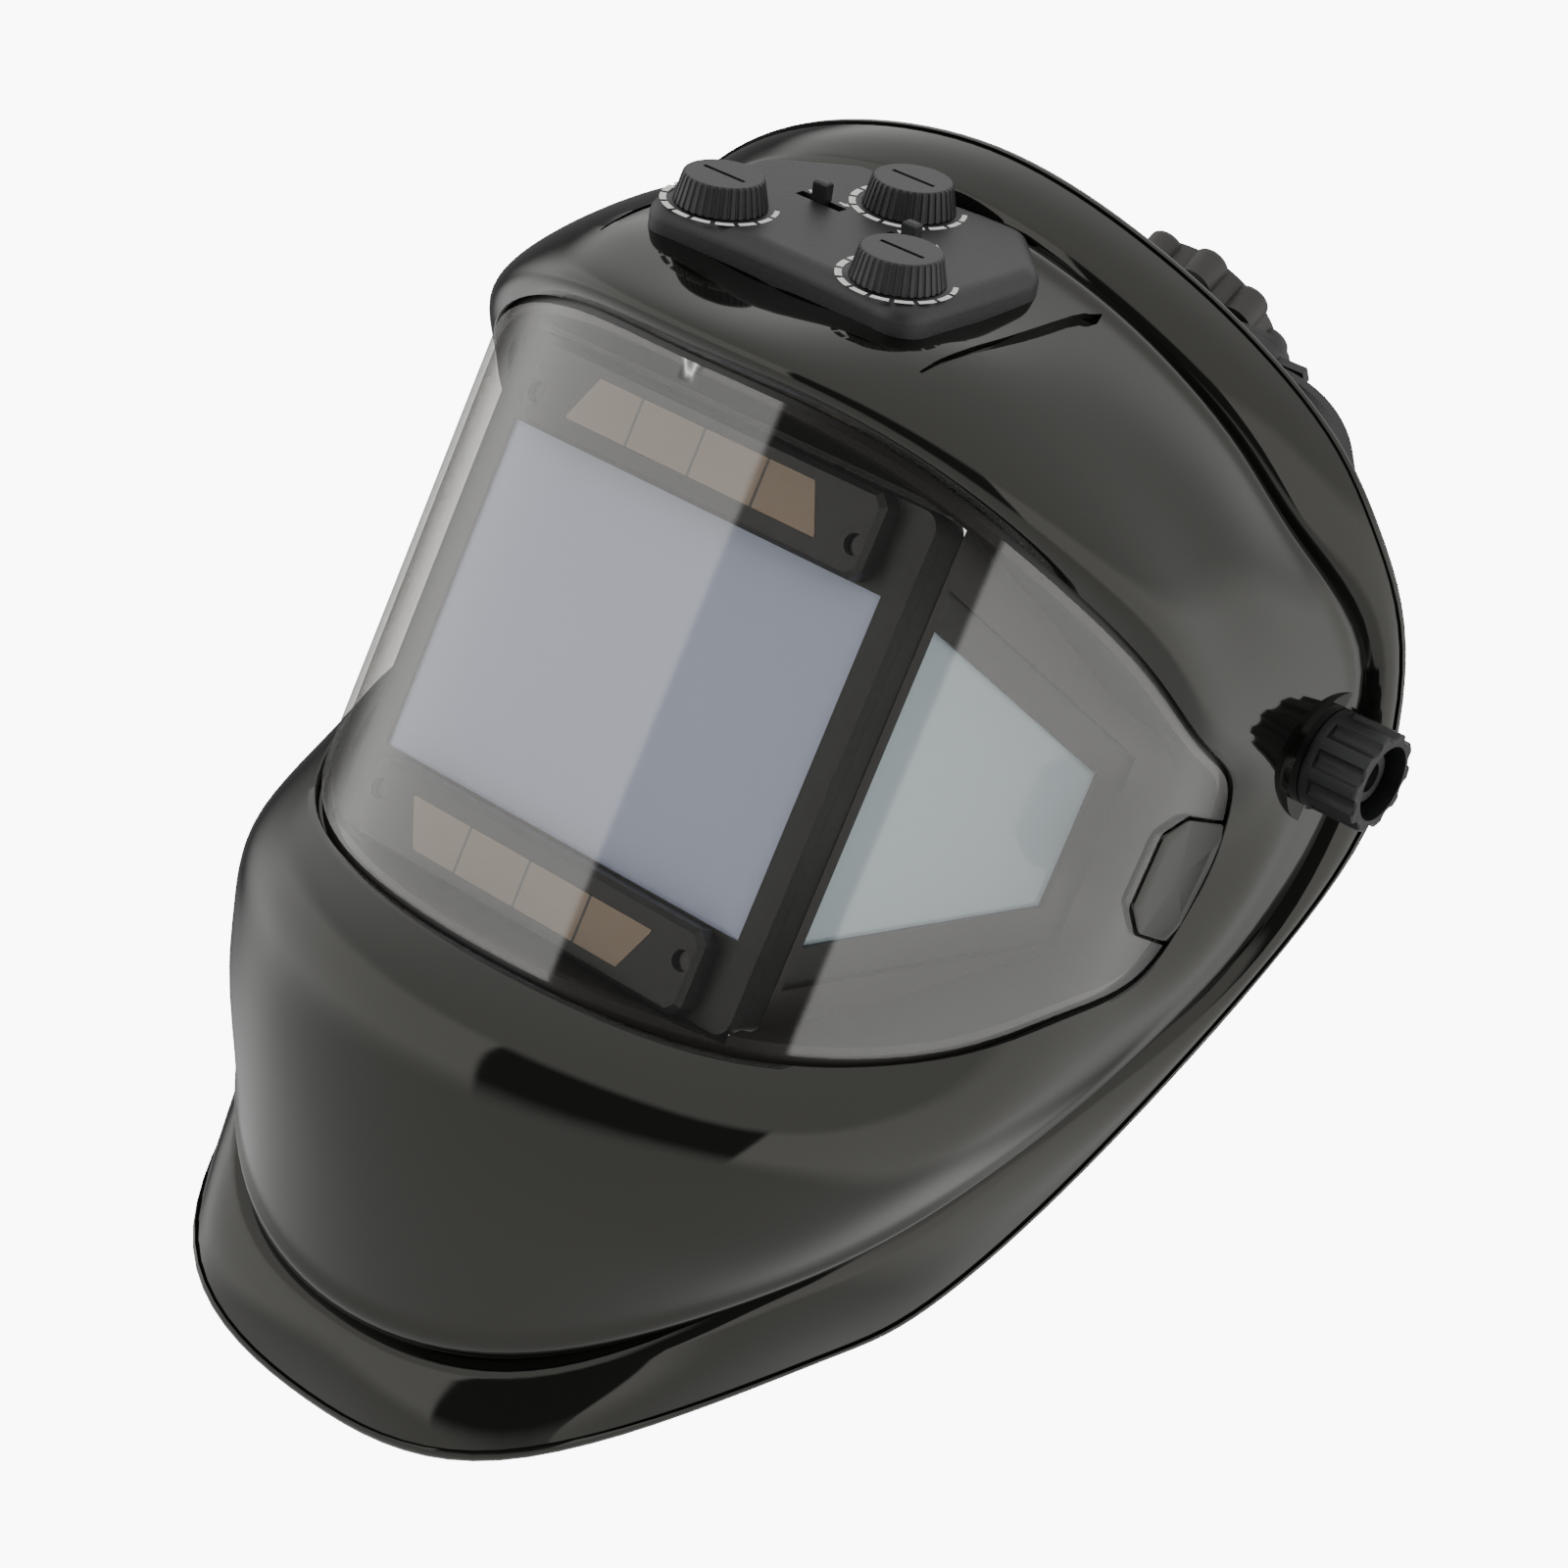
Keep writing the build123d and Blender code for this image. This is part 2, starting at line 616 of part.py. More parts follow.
def head_plan(grow):
    """Plan of the headband, fuller at the back than at the forehead."""
    half = BAND_HALF_WIDTH + grow
    front = RectangleRounded(2 * half, 2 * (BAND_FRONT + grow), 66 + grow)
    back = RectangleRounded(2 * half, 2 * (BAND_BACK + grow), 40 + grow)
    front &= Pos(0, -150) * Rectangle(400, 300)
    back &= Pos(0, 150) * Rectangle(400, 300)
    return front + back


def head_ring(outer, inner, bottom, top):
    ring = head_plan(outer) - head_plan(inner)
    return extrude(Plane.XY.offset(bottom) * ring, top - bottom)


def strap_ellipse(rise, grow):
    """Half-ring profile of a crown strap seen from the front."""
    half = BAND_HALF_WIDTH + grow
    foot = 14.0
    arch = Pos(0, foot) * Ellipse(half, rise - foot + grow)
    arch &= Pos(0, foot + 100) * Rectangle(300, 200)
    return arch + Pos(0, foot / 2) * Rectangle(2 * half, foot)


def crown_strap(rise, reach):
    """One half of the crown strap; reach is how far it passes the centre."""
    profile = strap_ellipse(rise, 1.6) - strap_ellipse(rise, 0)
    profile &= Pos(100 - reach, 50) * Rectangle(200, 200)
    band = extrude(Plane.XZ.offset(-5 - STRAP_WIDTH / 2) * profile, STRAP_WIDTH)
    for i in range(3):
        band -= Pos(-reach + 8 + i * 9, 5, rise) * Cylinder(2.4, 12)
    return band


def headgear_rivets():
    """Rivets that hold the side arms and the crown straps to the headband."""
    rivets = Part()
    for mark in (1, -1):
        for y in (-30, 30):
            x = BAND_HALF_WIDTH + (1.5 if y > 0 else -1.3)
            rivets += rod_x(1.5, mark * (x - 5), mark * (x + 1.5), y, 0)
            rivets += rod_x(3.0, mark * (x + 1.4), mark * (x + 2.6), y, 0)
        rivets += rod_x(1.5, mark * (BAND_HALF_WIDTH - 1.8), mark * (BAND_HALF_WIDTH + 1.6), 5, 6)
        rivets += rod_x(3.0, mark * (BAND_HALF_WIDTH + 1.6), mark * (BAND_HALF_WIDTH + 2.6), 5, 6)
    return rivets


def headband(rivets):
    """Rigid band round the head: tall at the brow, narrow at the ears, low at the nape."""
    side_view = (
        (-95, 0), (-95, 32), (-64, 32), (-42, 24), (-20, 16), (30, 9), (66, 1), (95, 0),
        (95, -22), (66, -21), (30, -10), (-20, -6), (-50, -2),
    )
    ring = head_ring(0, -BAND_THICKNESS, -60, 60) & slab(side_view, -110, 110)
    ring -= block(-29, 29, 60, 110, -60, 60)
    return ring - rivets


def brow_sweatband():
    pad = head_ring(-BAND_THICKNESS, -BAND_THICKNESS - 7, 1, 31)
    pad &= block(-80, 80, -95, -42, -10, 60)
    return pad


def side_arm(rivets):
    """Bowed arm from the headband out to the pivot, slotted for the fore-and-aft setting."""
    front = [(62, -35), (71.9, -35), (74.3, -25), (77.2, -19.7)]
    outer = [(95.4, -13.0), (95.4, 13.3), (77.8, 26), (76.2, 35), (66, 35), (73, 26)]
    inner = [(90.5, 13.8), (93, 12.1), (93, -12.1), (90.5, -12.9), (73, -19.4), (70, -25)]
    arm = extrude(Plane.XY.offset(-11) * make_face(Polyline(*front, *outer, *inner, close=True)), 22)
    arm -= extrude(Plane.XY.offset(-30) * head_plan(0), 60)
    slot = Pos(94, 0, 0) * Box(10, 2 * SLIDE_TRAVEL, 2 * BOLT_RADIUS + 0.2)
    for y in (-SLIDE_TRAVEL, SLIDE_TRAVEL):
        slot += rod_x(BOLT_RADIUS + 0.1, 88, 100, y)
    return arm - slot - rivets


def crown_peg():
    """Peg that sets the crown strap's length."""
    peg = Pos(0, 5, CROWN_RISE + 0.4) * Cylinder(2.3, 5.4)
    peg += Pos(0, 5, CROWN_RISE + 2.6) * Cylinder(5, 1.6)
    return peg


def rack(side):
    """Toothed bar; side is 1 for the upper bar on the left, -1 for the lower bar on the right."""
    pitch = 2 * math.pi * RACK_PITCH_RADIUS / PINION_TEETH
    inner = RACK_PITCH_RADIUS + 1.3
    tip = RACK_PITCH_RADIUS - 0.9
    bar = block(-16, 40, 88.3, 90.3, inner, 11.5)
    for i in range(-5, 12):
        x = (i + 0.5) * pitch
        points = [(x - 0.98, inner), (x + 0.98, inner), (x + 0.36, tip), (x - 0.36, tip)]
        tooth = Plane.XZ.offset(-90.3) * make_face(Polyline(*points, close=True))
        bar += extrude(tooth, 2.0)
    if side < 0:
        bar = Rot(0, 180, 0) * bar
    return Pos(0, 0, RATCHET_DROP) * bar


def ratchet_pinion():
    """Pinion with the shaft that carries the knob."""
    gear = rod_y(RACK_PITCH_RADIUS - 1.3, 88.4, 91.2)
    for i in range(PINION_TEETH):
        root = RACK_PITCH_RADIUS - 1.6
        tip = RACK_PITCH_RADIUS + 0.85
        points = [(root, -1.0), (root, 1.0), (tip, 0.33), (tip, -0.33)]
        tooth = Plane.XZ.offset(-91.2) * make_face(Polyline(*points, close=True))
        gear += Rot(0, i * 360 / PINION_TEETH, 0) * extrude(tooth, 2.8)
    shaft = rod_y(4, 91.2, 97)
    return Pos(0, 0, RATCHET_DROP) * (gear + shaft)


def ratchet_housing():
    body = block(-33, 33, 84.6, 91.4, -15, 15)
    body = fillet(body.edges().filter_by(Axis.Y), 6)
    for side in (1, -1):
        body -= block(side * 28.9 if side > 0 else -40, 40 if side > 0 else -28.9, 86.1, 88.1, -12, 12)
        low = RACK_PITCH_RADIUS - 0.9 - RUNNING_GAP
        high = 11.5 + RUNNING_GAP
        channel = (low, high) if side > 0 else (-high, -low)
        body -= block(-40, 40, 88.3 - RUNNING_GAP, 90.3 + RUNNING_GAP, channel[0], channel[1])
    body -= rod_y(RACK_PITCH_RADIUS + 1.2, 88.2, 95)
    return Pos(0, 0, RATCHET_DROP) * body


def ratchet_cover():
    plate = block(-33, 33, 91.45, 92.8, -15, 15)
    plate = fillet(plate.edges().filter_by(Axis.Y), 6)
    plate -= rod_y(4 + RUNNING_GAP, 90, 96)
    ring = rod_y(12, 92.8, 93.6) - rod_y(9, 92, 95)
    return Pos(0, 0, RATCHET_DROP) * (plate + ring)


def ratchet_knob():
    """Big lobed knob at the nape."""
    knob = rod_y(21.5, 94, 102.5)
    lobes = 10
    for i in range(lobes):
        lobe = rod_y(4.6, 94, 102.5, 20.8)
        lobe = fillet(lobe.edges().sort_by(Axis.Y)[-1], 1.6)
        knob += Rot(0, i * 360 / lobes, 0) * lobe
    knob += rod_y(15, 102.5, 104)
    knob -= rod_y(12, 103, 105)
    knob -= rod_y(4, 93, 97)
    return Pos(0, 0, RATCHET_DROP) * knob


def rear_pad():
    pad = block(-36, 36, 78, 84.5, -20, 14)
    pad = fillet(pad.edges().filter_by(Axis.Y), 8)
    pad = fillet(pad.faces().sort_by(Axis.Y)[0].edges(), 2.5)
    return Pos(0, 0, RATCHET_DROP) * pad


# Side pivots, from the wearer outwards; they keep the headgear's tilt

def pivot_bolt():
    """Flanged bolt: head inside the arm, shoulder in the shell, thread in the knob."""
    bolt = rod_x(6.6, 90.2, 92.9)
    bolt += rod_x(BOLT_RADIUS, 92.9, 98.4)
    bolt += rod_x(SHOULDER_RADIUS, 98.4, BOSS_OUTER_X)
    return bolt + rod_x(BOLT_RADIUS, BOSS_OUTER_X, 114.5)


def slide_block():
    plate = rod_x(10, 95.5, 98.3)
    return plate - rod_x(BOLT_RADIUS + 0.02, 90, 105)


def friction_washer():
    return rod_x(11, 98.4, 100.4) - rod_x(SHOULDER_RADIUS + 0.05, 95, 105)


def tilt_stop_washer():
    """Washer with the tab that meets the stops on the shell."""
    washer = rod_x(11.4, 100.5, 101.8)
    washer += block(100.5, 101.8, -2, 2, 10, 14.4)
    return washer - rod_x(SHOULDER_RADIUS + 0.05, 95, 105)


def knob_insert():
    return rod_x(4.6, 107, 113) - rod_x(BOLT_RADIUS + RUNNING_GAP, 100, 120)


def side_knob():
    """Fluted hand knob with a deep front recess."""
    start = BOSS_OUTER_X + 0.12
    knob = rod_x(KNOB_RADIUS, start, 120.3)
    flutes = 10
    for i in range(flutes):
        flute = rod_x(2.6, start + 2.2, 125, KNOB_RADIUS + 1.3)
        knob -= Rot(i * 360 / flutes, 0, 0) * flute
    knob = fillet(knob.faces().sort_by(Axis.X)[-1].edges(), 0.7)
    knob -= rod_x(8.6, 111.3, 125)
    knob += rod_x(5.6, 111.3, 117)
    knob -= rod_x(4.6, 107, 113)
    return knob - rod_x(BOLT_RADIUS + 0.4, 100, 120)


def save_pair(name, left):
    """Write the left piece and its mirror image."""
    save(name + "_left", left)
    save(name + "_right", mirror(left, about=Plane.YZ))


def build_shell_group():
    blank = shell_blank()
    save("helmet_shell", helmet_shell(blank))
    save("console_housing", console_housing(blank))
    save("front_cover_lens", front_cover_lens())
    save("lens_retaining_frame", lens_retaining_frame(blank))


def build_cartridge():
    save("filter_carrier", filter_carrier())
    save("adf_front_housing", adf_front_housing())
    save("adf_rear_housing", adf_rear_housing())
    save("adf_filter_glass", adf_filter_glass())
    save("adf_inner_cover", adf_inner_cover())
    save("solar_cell_top", solar_strip(1, 0))
    save("solar_cell_bottom", solar_strip(-1, 0))
    save("light_sensors", light_sensors())
    save("adf_circuit_board", adf_circuit_board())
    save("adf_screws", adf_screws())
    save("battery_drawer", battery_drawer())
    save("battery_cell", battery_cell())
    save_pair("side_filter_frame", side_filter_frame())
    save_pair("side_filter_glass", side_filter_glass())
    save_pair("side_inner_cover", side_inner_cover())


def build_console():
    save("console_circuit_board", console_board())
    save("console_screws", console_screws())
    save("console_lead", console_lead())
    save("potentiometers", potentiometers())
    save("slide_switch_bodies", slide_switch_bodies())
    for name, spot in DIAL_SPOTS.items():
        save(name, dial(spot))
    for name, spot in SWITCH_SPOTS.items():
        save(name, switch_slider(spot))


def build_headgear():
    rivets = headgear_rivets()
    arm = side_arm(rivets)
    strap = crown_strap(CROWN_RISE, 26)
    save("headgear_rivets", place_head(rivets))
    save("headband", place_head(headband(rivets)))
    save("brow_sweatband", place_head(brow_sweatband()))
    save("side_arm_left", place_head(arm))
    save("side_arm_right", place_head(mirror(arm, about=Plane.YZ)))
    save("crown_strap_left", place_head(strap - rivets))
    save("crown_strap_right", place_head(mirror(crown_strap(CROWN_RISE - 2.2, 26), about=Plane.YZ) - rivets))
    save("crown_peg", place_head(crown_peg()))
    save("rear_pad", place_head(rear_pad()))
    save("ratchet_housing", place_head(ratchet_housing()))
    save("ratchet_cover", place_head(ratchet_cover()))
    save("ratchet_knob", place_head(ratchet_knob()))
    save("ratchet_pinion", place_head(ratchet_pinion()))
    save("rear_rack_left", place_head(rack(1)))
    save("rear_rack_right", place_head(rack(-1)))


def build_pivots():
    save_pair("pivot_bolt", pivot_bolt())
    save_pair("slide_block", slide_block())
    save_pair("side_knob", side_knob())
    save_pair("knob_insert", knob_insert())
    save_pair("friction_washer", friction_washer())
    save_pair("tilt_stop_washer", tilt_stop_washer())


os.makedirs("parts", exist_ok=True)
build_pivots()
build_headgear()
build_console()
build_cartridge()
build_shell_group()
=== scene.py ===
import math
import bmesh
import bpy
import numpy as np
from mathutils import Matrix, Vector


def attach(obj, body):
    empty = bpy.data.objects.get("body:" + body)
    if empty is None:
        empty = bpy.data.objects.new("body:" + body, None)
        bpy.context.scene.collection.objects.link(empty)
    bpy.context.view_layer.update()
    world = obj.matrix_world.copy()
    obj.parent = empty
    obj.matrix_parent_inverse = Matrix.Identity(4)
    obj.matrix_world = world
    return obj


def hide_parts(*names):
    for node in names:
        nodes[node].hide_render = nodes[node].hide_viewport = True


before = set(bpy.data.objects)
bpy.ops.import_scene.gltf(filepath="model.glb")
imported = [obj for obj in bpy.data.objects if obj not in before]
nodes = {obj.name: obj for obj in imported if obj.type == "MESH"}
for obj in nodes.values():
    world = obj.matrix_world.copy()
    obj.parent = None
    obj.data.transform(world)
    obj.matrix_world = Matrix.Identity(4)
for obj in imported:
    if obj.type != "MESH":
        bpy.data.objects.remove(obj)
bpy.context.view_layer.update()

# Camera: place in metres, then its turn to the left, tilt and roll in degrees.
CAMERA_PLACE = (0.4258, -0.7346, 0.0753)
CAMERA_TURN = 31.054
CAMERA_TILT = -8.997
CAMERA_ROLL = 22.556
CAMERA_LENS = 85.5

# The object's sizes are in millimetres and its angles in radians.
MM = 0.001
WALL = 2.6
PIVOT_BACK = 103.0
PIVOT_UP = 36.5
LENS_RADIUS = 99.3
LENS_THICKNESS = 1.5
LENS_GAP = 1.4
LENS_AXIS_Y = -24.0
LUG_CLEARANCE = 1.05
SHOULDER_RADIUS = 5.18
BOSS_RADIUS = 15.0
BOSS_INSIDE = 101.9
BOSS_FACE = 106.15
KNOB_RECESS_RADIUS = 12.0
HEAD_TILT = math.radians(55.0)
CONSOLE_TILT = math.radians(24.5)
CONSOLE_ORIGIN = (0.0, -86.8, 66.0)
DIAL_SPOTS = ((-23.5, -15.5), (0.0, 18.0), (23.5, -15.5))
SLOT_SPOTS = ((-12.5, 4.0), (12.5, 2.5))
BEAD_RADIUS = 1.9
BEAD_OUT = 0.4
LENS_EDGE_BULGE = 0.3

# The fold where the flange starts: how deep and wide its groove is, the swelling in front of it, and
# where it fades out behind the side knobs, as a share of the way round from top to bottom.
FOLD_DEPTH = 2.0
FOLD_WIDTH = 1.15
SWELL_HEIGHT = 0.9
SWELL_AHEAD = 4.5
SWELL_WIDTH = 2.4
FOLD_FADES_AT = 0.455
FOLD_FADE_WIDTH = 0.1
FLANGE_BULGE = 1.3

# Grid of the shell's wall: columns go round it, rows go from the lens edge to the rim. A knot power
# below 1 keeps a column from overshooting where its guide points lie close together.
COLUMNS = 176
KNOT_POWER = 0.6
COARSE_ROWS = 36
FINE_ROWS = 18
FINE_FROM = 0.88
FLANGE_ROWS = 20

# Studio: where the dark gap between the two bright panels stands, seen from above (radians from
# straight ahead towards the wearer's left), where each part of the room begins and ends, and how
# bright it is. The ceiling and the table are given by the height of the direction looked in.
GAP_BEARING = 0.42
GAP_HALF = 0.53
PANEL_STARTS = (GAP_HALF, GAP_HALF + 0.04)
PANEL_ENDS = (1.9, 2.5)
CEILING_STARTS = (0.3, 0.5)
TABLE_STARTS = (-0.25, -0.5)
PANEL_LIGHT = 2.1
GAP_LIGHT = 0.15
CEILING_LIGHT = 1.55
TABLE_LIGHT = 1.35
BACKDROP_LIGHT = 12.0
BACKDROP_THROUGH_LENS = 2.2

# Guide points of the shell's left half, measured from the centre of the front window,
# from the top centre round the side to the bottom centre.
SHELL_GUIDES = (
    # edge of the cover lens
    ((0, -20.8, 67), (44, -10.5, 65.5), (80.5, 20, 52.5), (92, 40.5, 43), (98, 60, 33),
     (99.8, 79, 25), (99.8, 84.5, 14), (99.8, 84, -2), (99.8, 78, -17), (96.5, 53.5, -32),
     (89.5, 35, -43), (76, 14, -53), (42, -11.5, -61), (0, -20.8, -62)),
    # crest of the lip round the lens
    ((0, -25.3, 71.5), (45, -15, 69.5), (83, 18, 58), (94, 39, 50), (99.5, 60, 40.5),
     (102.3, 82.5, 31), (103, 91, 19), (103, 89, -4), (102.3, 82, -20.5), (98.2, 52.5, -40),
     (92.3, 32, -53), (82.5, 9, -66), (46, -20, -72), (0, -31, -74)),
    # lower brow and upper chin
    ((0, -14.1, 79.9), (39, -7, 83), (73, 23, 78), (87, 41, 69), (97, 60, 58),
     (104.3, 88, 41), (105.3, 97, 25), (105.2, 95, -3), (103.3, 86.5, -24), (99.5, 54, -49),
     (94, 31.5, -65.5), (82.5, 11, -82), (46, -20, -88), (0, -31, -92)),
    # crown and lower chin
    ((0, 6.7, 90.4), (35, 11, 92.5), (65, 31, 90), (81, 47, 82), (93, 63, 71),
     (105, 95, 51), (106.4, 104, 32), (106, 102, -3), (103, 90.5, -27), (97.5, 56, -59),
     (90.5, 34.5, -78), (79, 14, -95), (43, -14, -110), (0, -25, -115)),
    # crease where the flange starts
    ((0, 43, 115.5), (33, 46, 111.5), (62, 56, 101), (77, 67, 91), (90, 79.5, 79),
     (105.3, 103, 60), (107.5, 111, 38), (106.5, 108.5, -2), (102, 94.5, -29.5), (93.5, 58.5, -69),
     (86.3, 40.5, -88.8), (75.5, 24.5, -105.5), (41.5, -2, -138), (0, -11.5, -147.7)),
    # rim
    ((0, 55, 128), (37.3, 58.8, 122.7), (72.1, 72.4, 109.2), (88.8, 83.1, 97.8), (100.2, 93, 84.3),
     (110, 110.5, 60.5), (113, 118.5, 37.5), (111.3, 115, 2), (105.8, 100, -34), (96, 71, -85),
     (89.5, 56.5, -105), (81, 44, -118), (48, -2, -154.5), (0, -9, -167)),
)
LUG_OUTLINE = (
    (-12, -20), (-35.6, -20.4), (-41.8, -25.2), (-42.1, -41.3), (-36.5, -46.7), (-12, -49),
)


# Camera

def make_camera():
    """Camera at the three-quarter view, rolled as it was held."""
    turn = Matrix.Rotation(math.radians(CAMERA_TURN), 4, "Z")
    tilt = Matrix.Rotation(math.radians(90 + CAMERA_TILT), 4, "X")
    roll = Matrix.Rotation(math.radians(CAMERA_ROLL), 4, "Z")
    camera = bpy.data.cameras.new("camera")
    camera.sensor_width = 36.0
    camera.lens = CAMERA_LENS
    camera.clip_start = 0.01
    camera.clip_end = 50.0
    holder = bpy.data.objects.new("camera", camera)
    holder.matrix_world = Matrix.Translation(CAMERA_PLACE) @ turn @ tilt @ roll
    bpy.context.scene.collection.objects.link(holder)
    bpy.context.scene.camera = holder


# Curves and surfaces of the shell

def spline_slopes(knots, values, flat_ends):
    """Slopes of the cubic spline through values."""
    count = len(knots)
    system = np.zeros((count, count))
    right = np.zeros(count)
    if flat_ends:
        system[0, 0] = system[-1, -1] = 1.0
    else:
        system[0, 0:2] = (2.0, 1.0)
        system[-1, -2:] = (1.0, 2.0)
        right[0] = 3 * (values[1] - values[0]) / (knots[1] - knots[0])
        right[-1] = 3 * (values[-1] - values[-2]) / (knots[-1] - knots[-2])
    for i in range(1, count - 1):
        before = knots[i] - knots[i - 1]
        after = knots[i + 1] - knots[i]
        system[i, i - 1:i + 2] = (after, 2 * (before + after), before)
        rise_before = after * (values[i] - values[i - 1]) / before
        rise_after = before * (values[i + 1] - values[i]) / after
        right[i] = 3 * (rise_before + rise_after)
    return np.linalg.solve(system, right)


def spline_value(knots, values, slopes, x):
    """The cubic spline's value at x."""
    i = int(np.clip(np.searchsorted(knots, x, side="left") - 1, 0, len(knots) - 2))
    span = knots[i + 1] - knots[i]
    t = (x - knots[i]) / span
    start = values[i] * (1 + 2 * t) * (1 - t) ** 2 + span * slopes[i] * t * (1 - t) ** 2
    end = values[i + 1] * (3 - 2 * t) * t * t - span * slopes[i + 1] * (1 - t) * t * t
    return start + end


class Guide:
    """A smooth curve through points; each axis is flat or free at its ends."""

    def __init__(self, knots, points, flat_ends):
        self.knots = np.array(knots, float)
        self.values = np.array(points, float).T
        self.slopes = [spline_slopes(self.knots, v, f) for v, f in zip(self.values, flat_ends)]

    def at(self, x):
        pairs = zip(self.values, self.slopes)
        return np.array([spline_value(self.knots, v, s, x) for v, s in pairs])


def shell_guides():
    """The guides as curves round the left half, and the knots that they share."""
    points = np.array(SHELL_GUIDES, float) - np.array((0, PIVOT_BACK, PIVOT_UP))
    steps = np.linalg.norm(np.diff(points, axis=1), axis=2).mean(axis=0)
    knots = np.concatenate(([0.0], np.cumsum(steps)))
    return knots, [Guide(knots, row, (False, True, True)) for row in points]


GUIDE_KNOTS, GUIDES = shell_guides()


def shell_column(u):
    """Outer points from the lens edge to the rim; u runs 0 to 2 round the whole shell."""
    side = 1.0
    if u > 1.0:
        side = -1.0
        u = 2.0 - u
    marks = np.array([guide.at(u * GUIDE_KNOTS[-1]) for guide in GUIDES])
    marks[:, 0] *= side
    crease, rim = marks[-2:]
    gaps = np.linalg.norm(np.diff(marks[:-1], axis=0), axis=1)
    knots = np.concatenate(([0.0], np.cumsum(gaps ** KNOT_POWER)))
    body = Guide(knots / knots[-1], marks[:-1], (False, False, False))
    coarse = np.linspace(0, FINE_FROM, COARSE_ROWS, endpoint=False)
    fine = np.linspace(FINE_FROM, 1, FINE_ROWS)
    rows = [body.at(v) for v in np.concatenate((coarse, fine))]
    rows += [crease + (rim - crease) * v for v in np.linspace(0, 1, FLANGE_ROWS)[1:]]
    return np.array(rows)


def grid_normals(grid):
    """Outward unit normals of the shell's grid."""
    round_way = np.roll(grid, -1, axis=0) - np.roll(grid, 1, axis=0)
    normals = np.cross(round_way, np.gradient(grid, axis=1))
    return normals / np.linalg.norm(normals, axis=2)[:, :, None]


def shell_grid():
    """Outer surface as a closed grid, its normals, and its outward direction at the rim."""
    grid = np.array([shell_column(2 * i / COLUMNS) for i in range(COLUMNS)])
    crease = COARSE_ROWS + FINE_ROWS - 1
    steps = np.linalg.norm(np.diff(grid, axis=1), axis=2)
    run = np.concatenate((np.zeros((COLUMNS, 1)), np.cumsum(steps, axis=1)), axis=1)
    away = run - run[:, crease:crease + 1]
    turn = 2 * np.arange(COLUMNS) / COLUMNS
    half_turn = np.minimum(turn, 2 - turn)[:, None]
    strength = 1 - np.exp(-((half_turn - FOLD_FADES_AT) / FOLD_FADE_WIDTH) ** 2)
    groove = -FOLD_DEPTH * np.exp(-(away / FOLD_WIDTH) ** 2)
    swell = SWELL_HEIGHT * np.exp(-((away + SWELL_AHEAD) / SWELL_WIDTH) ** 2)
    flange = FLANGE_BULGE * np.sin(np.pi * np.clip(away / away[:, -1:], 0, 1))
    shift = (groove + swell) * strength + flange
    out = grid_normals(grid)
    spread = out[:, crease - 4] + out[:, crease + 4]
    spread /= np.linalg.norm(spread, axis=1)[:, None]
    grid = grid + spread[:, None, :] * shift[:, :, None]
    rim_way = grid[:, -1] - grid[:, -2]
    rim_way /= np.linalg.norm(rim_way, axis=1)[:, None]
    return grid, grid_normals(grid), rim_way


SHELL, SHELL_NORMALS, RIM_WAY = shell_grid()


def mesh_object(name, vertices, faces, smooth=True):
    """A mesh from millimetre vertices."""
    mesh = bpy.data.meshes.new(name)
    mesh.from_pydata([tuple(float(c) * MM for c in v) for v in vertices], [], faces)
    mesh.update()
    if smooth:
        mesh.polygons.foreach_set("use_smooth", [True] * len(mesh.polygons))
    piece = bpy.data.objects.new(name, mesh)
    bpy.context.scene.collection.objects.link(piece)
    return piece


def grid_faces(columns, rows, wrap):
    """Quads of a grid whose vertices are numbered column by column."""
    faces = []
    for i in range(columns if wrap else columns - 1):
        following = (i + 1) % columns
        for j in range(rows - 1):
            a = i * rows + j
            b = following * rows + j
            faces.append((a, b, b + 1, a + 1))
    return faces


def shell_mesh():
    """Wall of the shell: outer face, rolled rim, inner face and rounded lens edge."""
    inner = SHELL - SHELL_NORMALS * WALL
    middle = SHELL[:, -1] - SHELL_NORMALS[:, -1] * WALL / 2
    bead = []
    for angle in np.linspace(-20, 200, 13):
        turn = math.radians(angle)
        swing = SHELL_NORMALS[:, -1] * math.cos(turn) + RIM_WAY * math.sin(turn)
        bead.append(middle + RIM_WAY * BEAD_OUT + swing * BEAD_RADIUS)
    edge_way = SHELL[:, 0] - SHELL[:, 1]
    edge_way /= np.linalg.norm(edge_way, axis=1)[:, None]
    centre = SHELL[:, 0] - SHELL_NORMALS[:, 0] * WALL / 2
    edge = []
    for angle in (150, 120, 90, 60, 30):
        turn = math.radians(angle)
        swing = SHELL_NORMALS[:, 0] * math.cos(turn) + edge_way * math.sin(turn) * LENS_EDGE_BULGE
        edge.append(centre + swing * WALL / 2)
    outer_rows = [SHELL[:, j] for j in range(SHELL.shape[1])]
    inner_rows = [inner[:, j] for j in range(SHELL.shape[1] - 1, -1, -1)]
    rows = edge + outer_rows + bead + inner_rows
    count = len(rows)
    vertices = np.stack(rows, axis=1).reshape(-1, 3)
    faces = []
    for i in range(COLUMNS):
        following = (i + 1) % COLUMNS
        for j in range(count):
            k = (j + 1) % count
            a = i * count
            b = following * count
            faces.append((a + j, b + j, b + k, a + k))
    return mesh_object("shell_wall", vertices, faces)


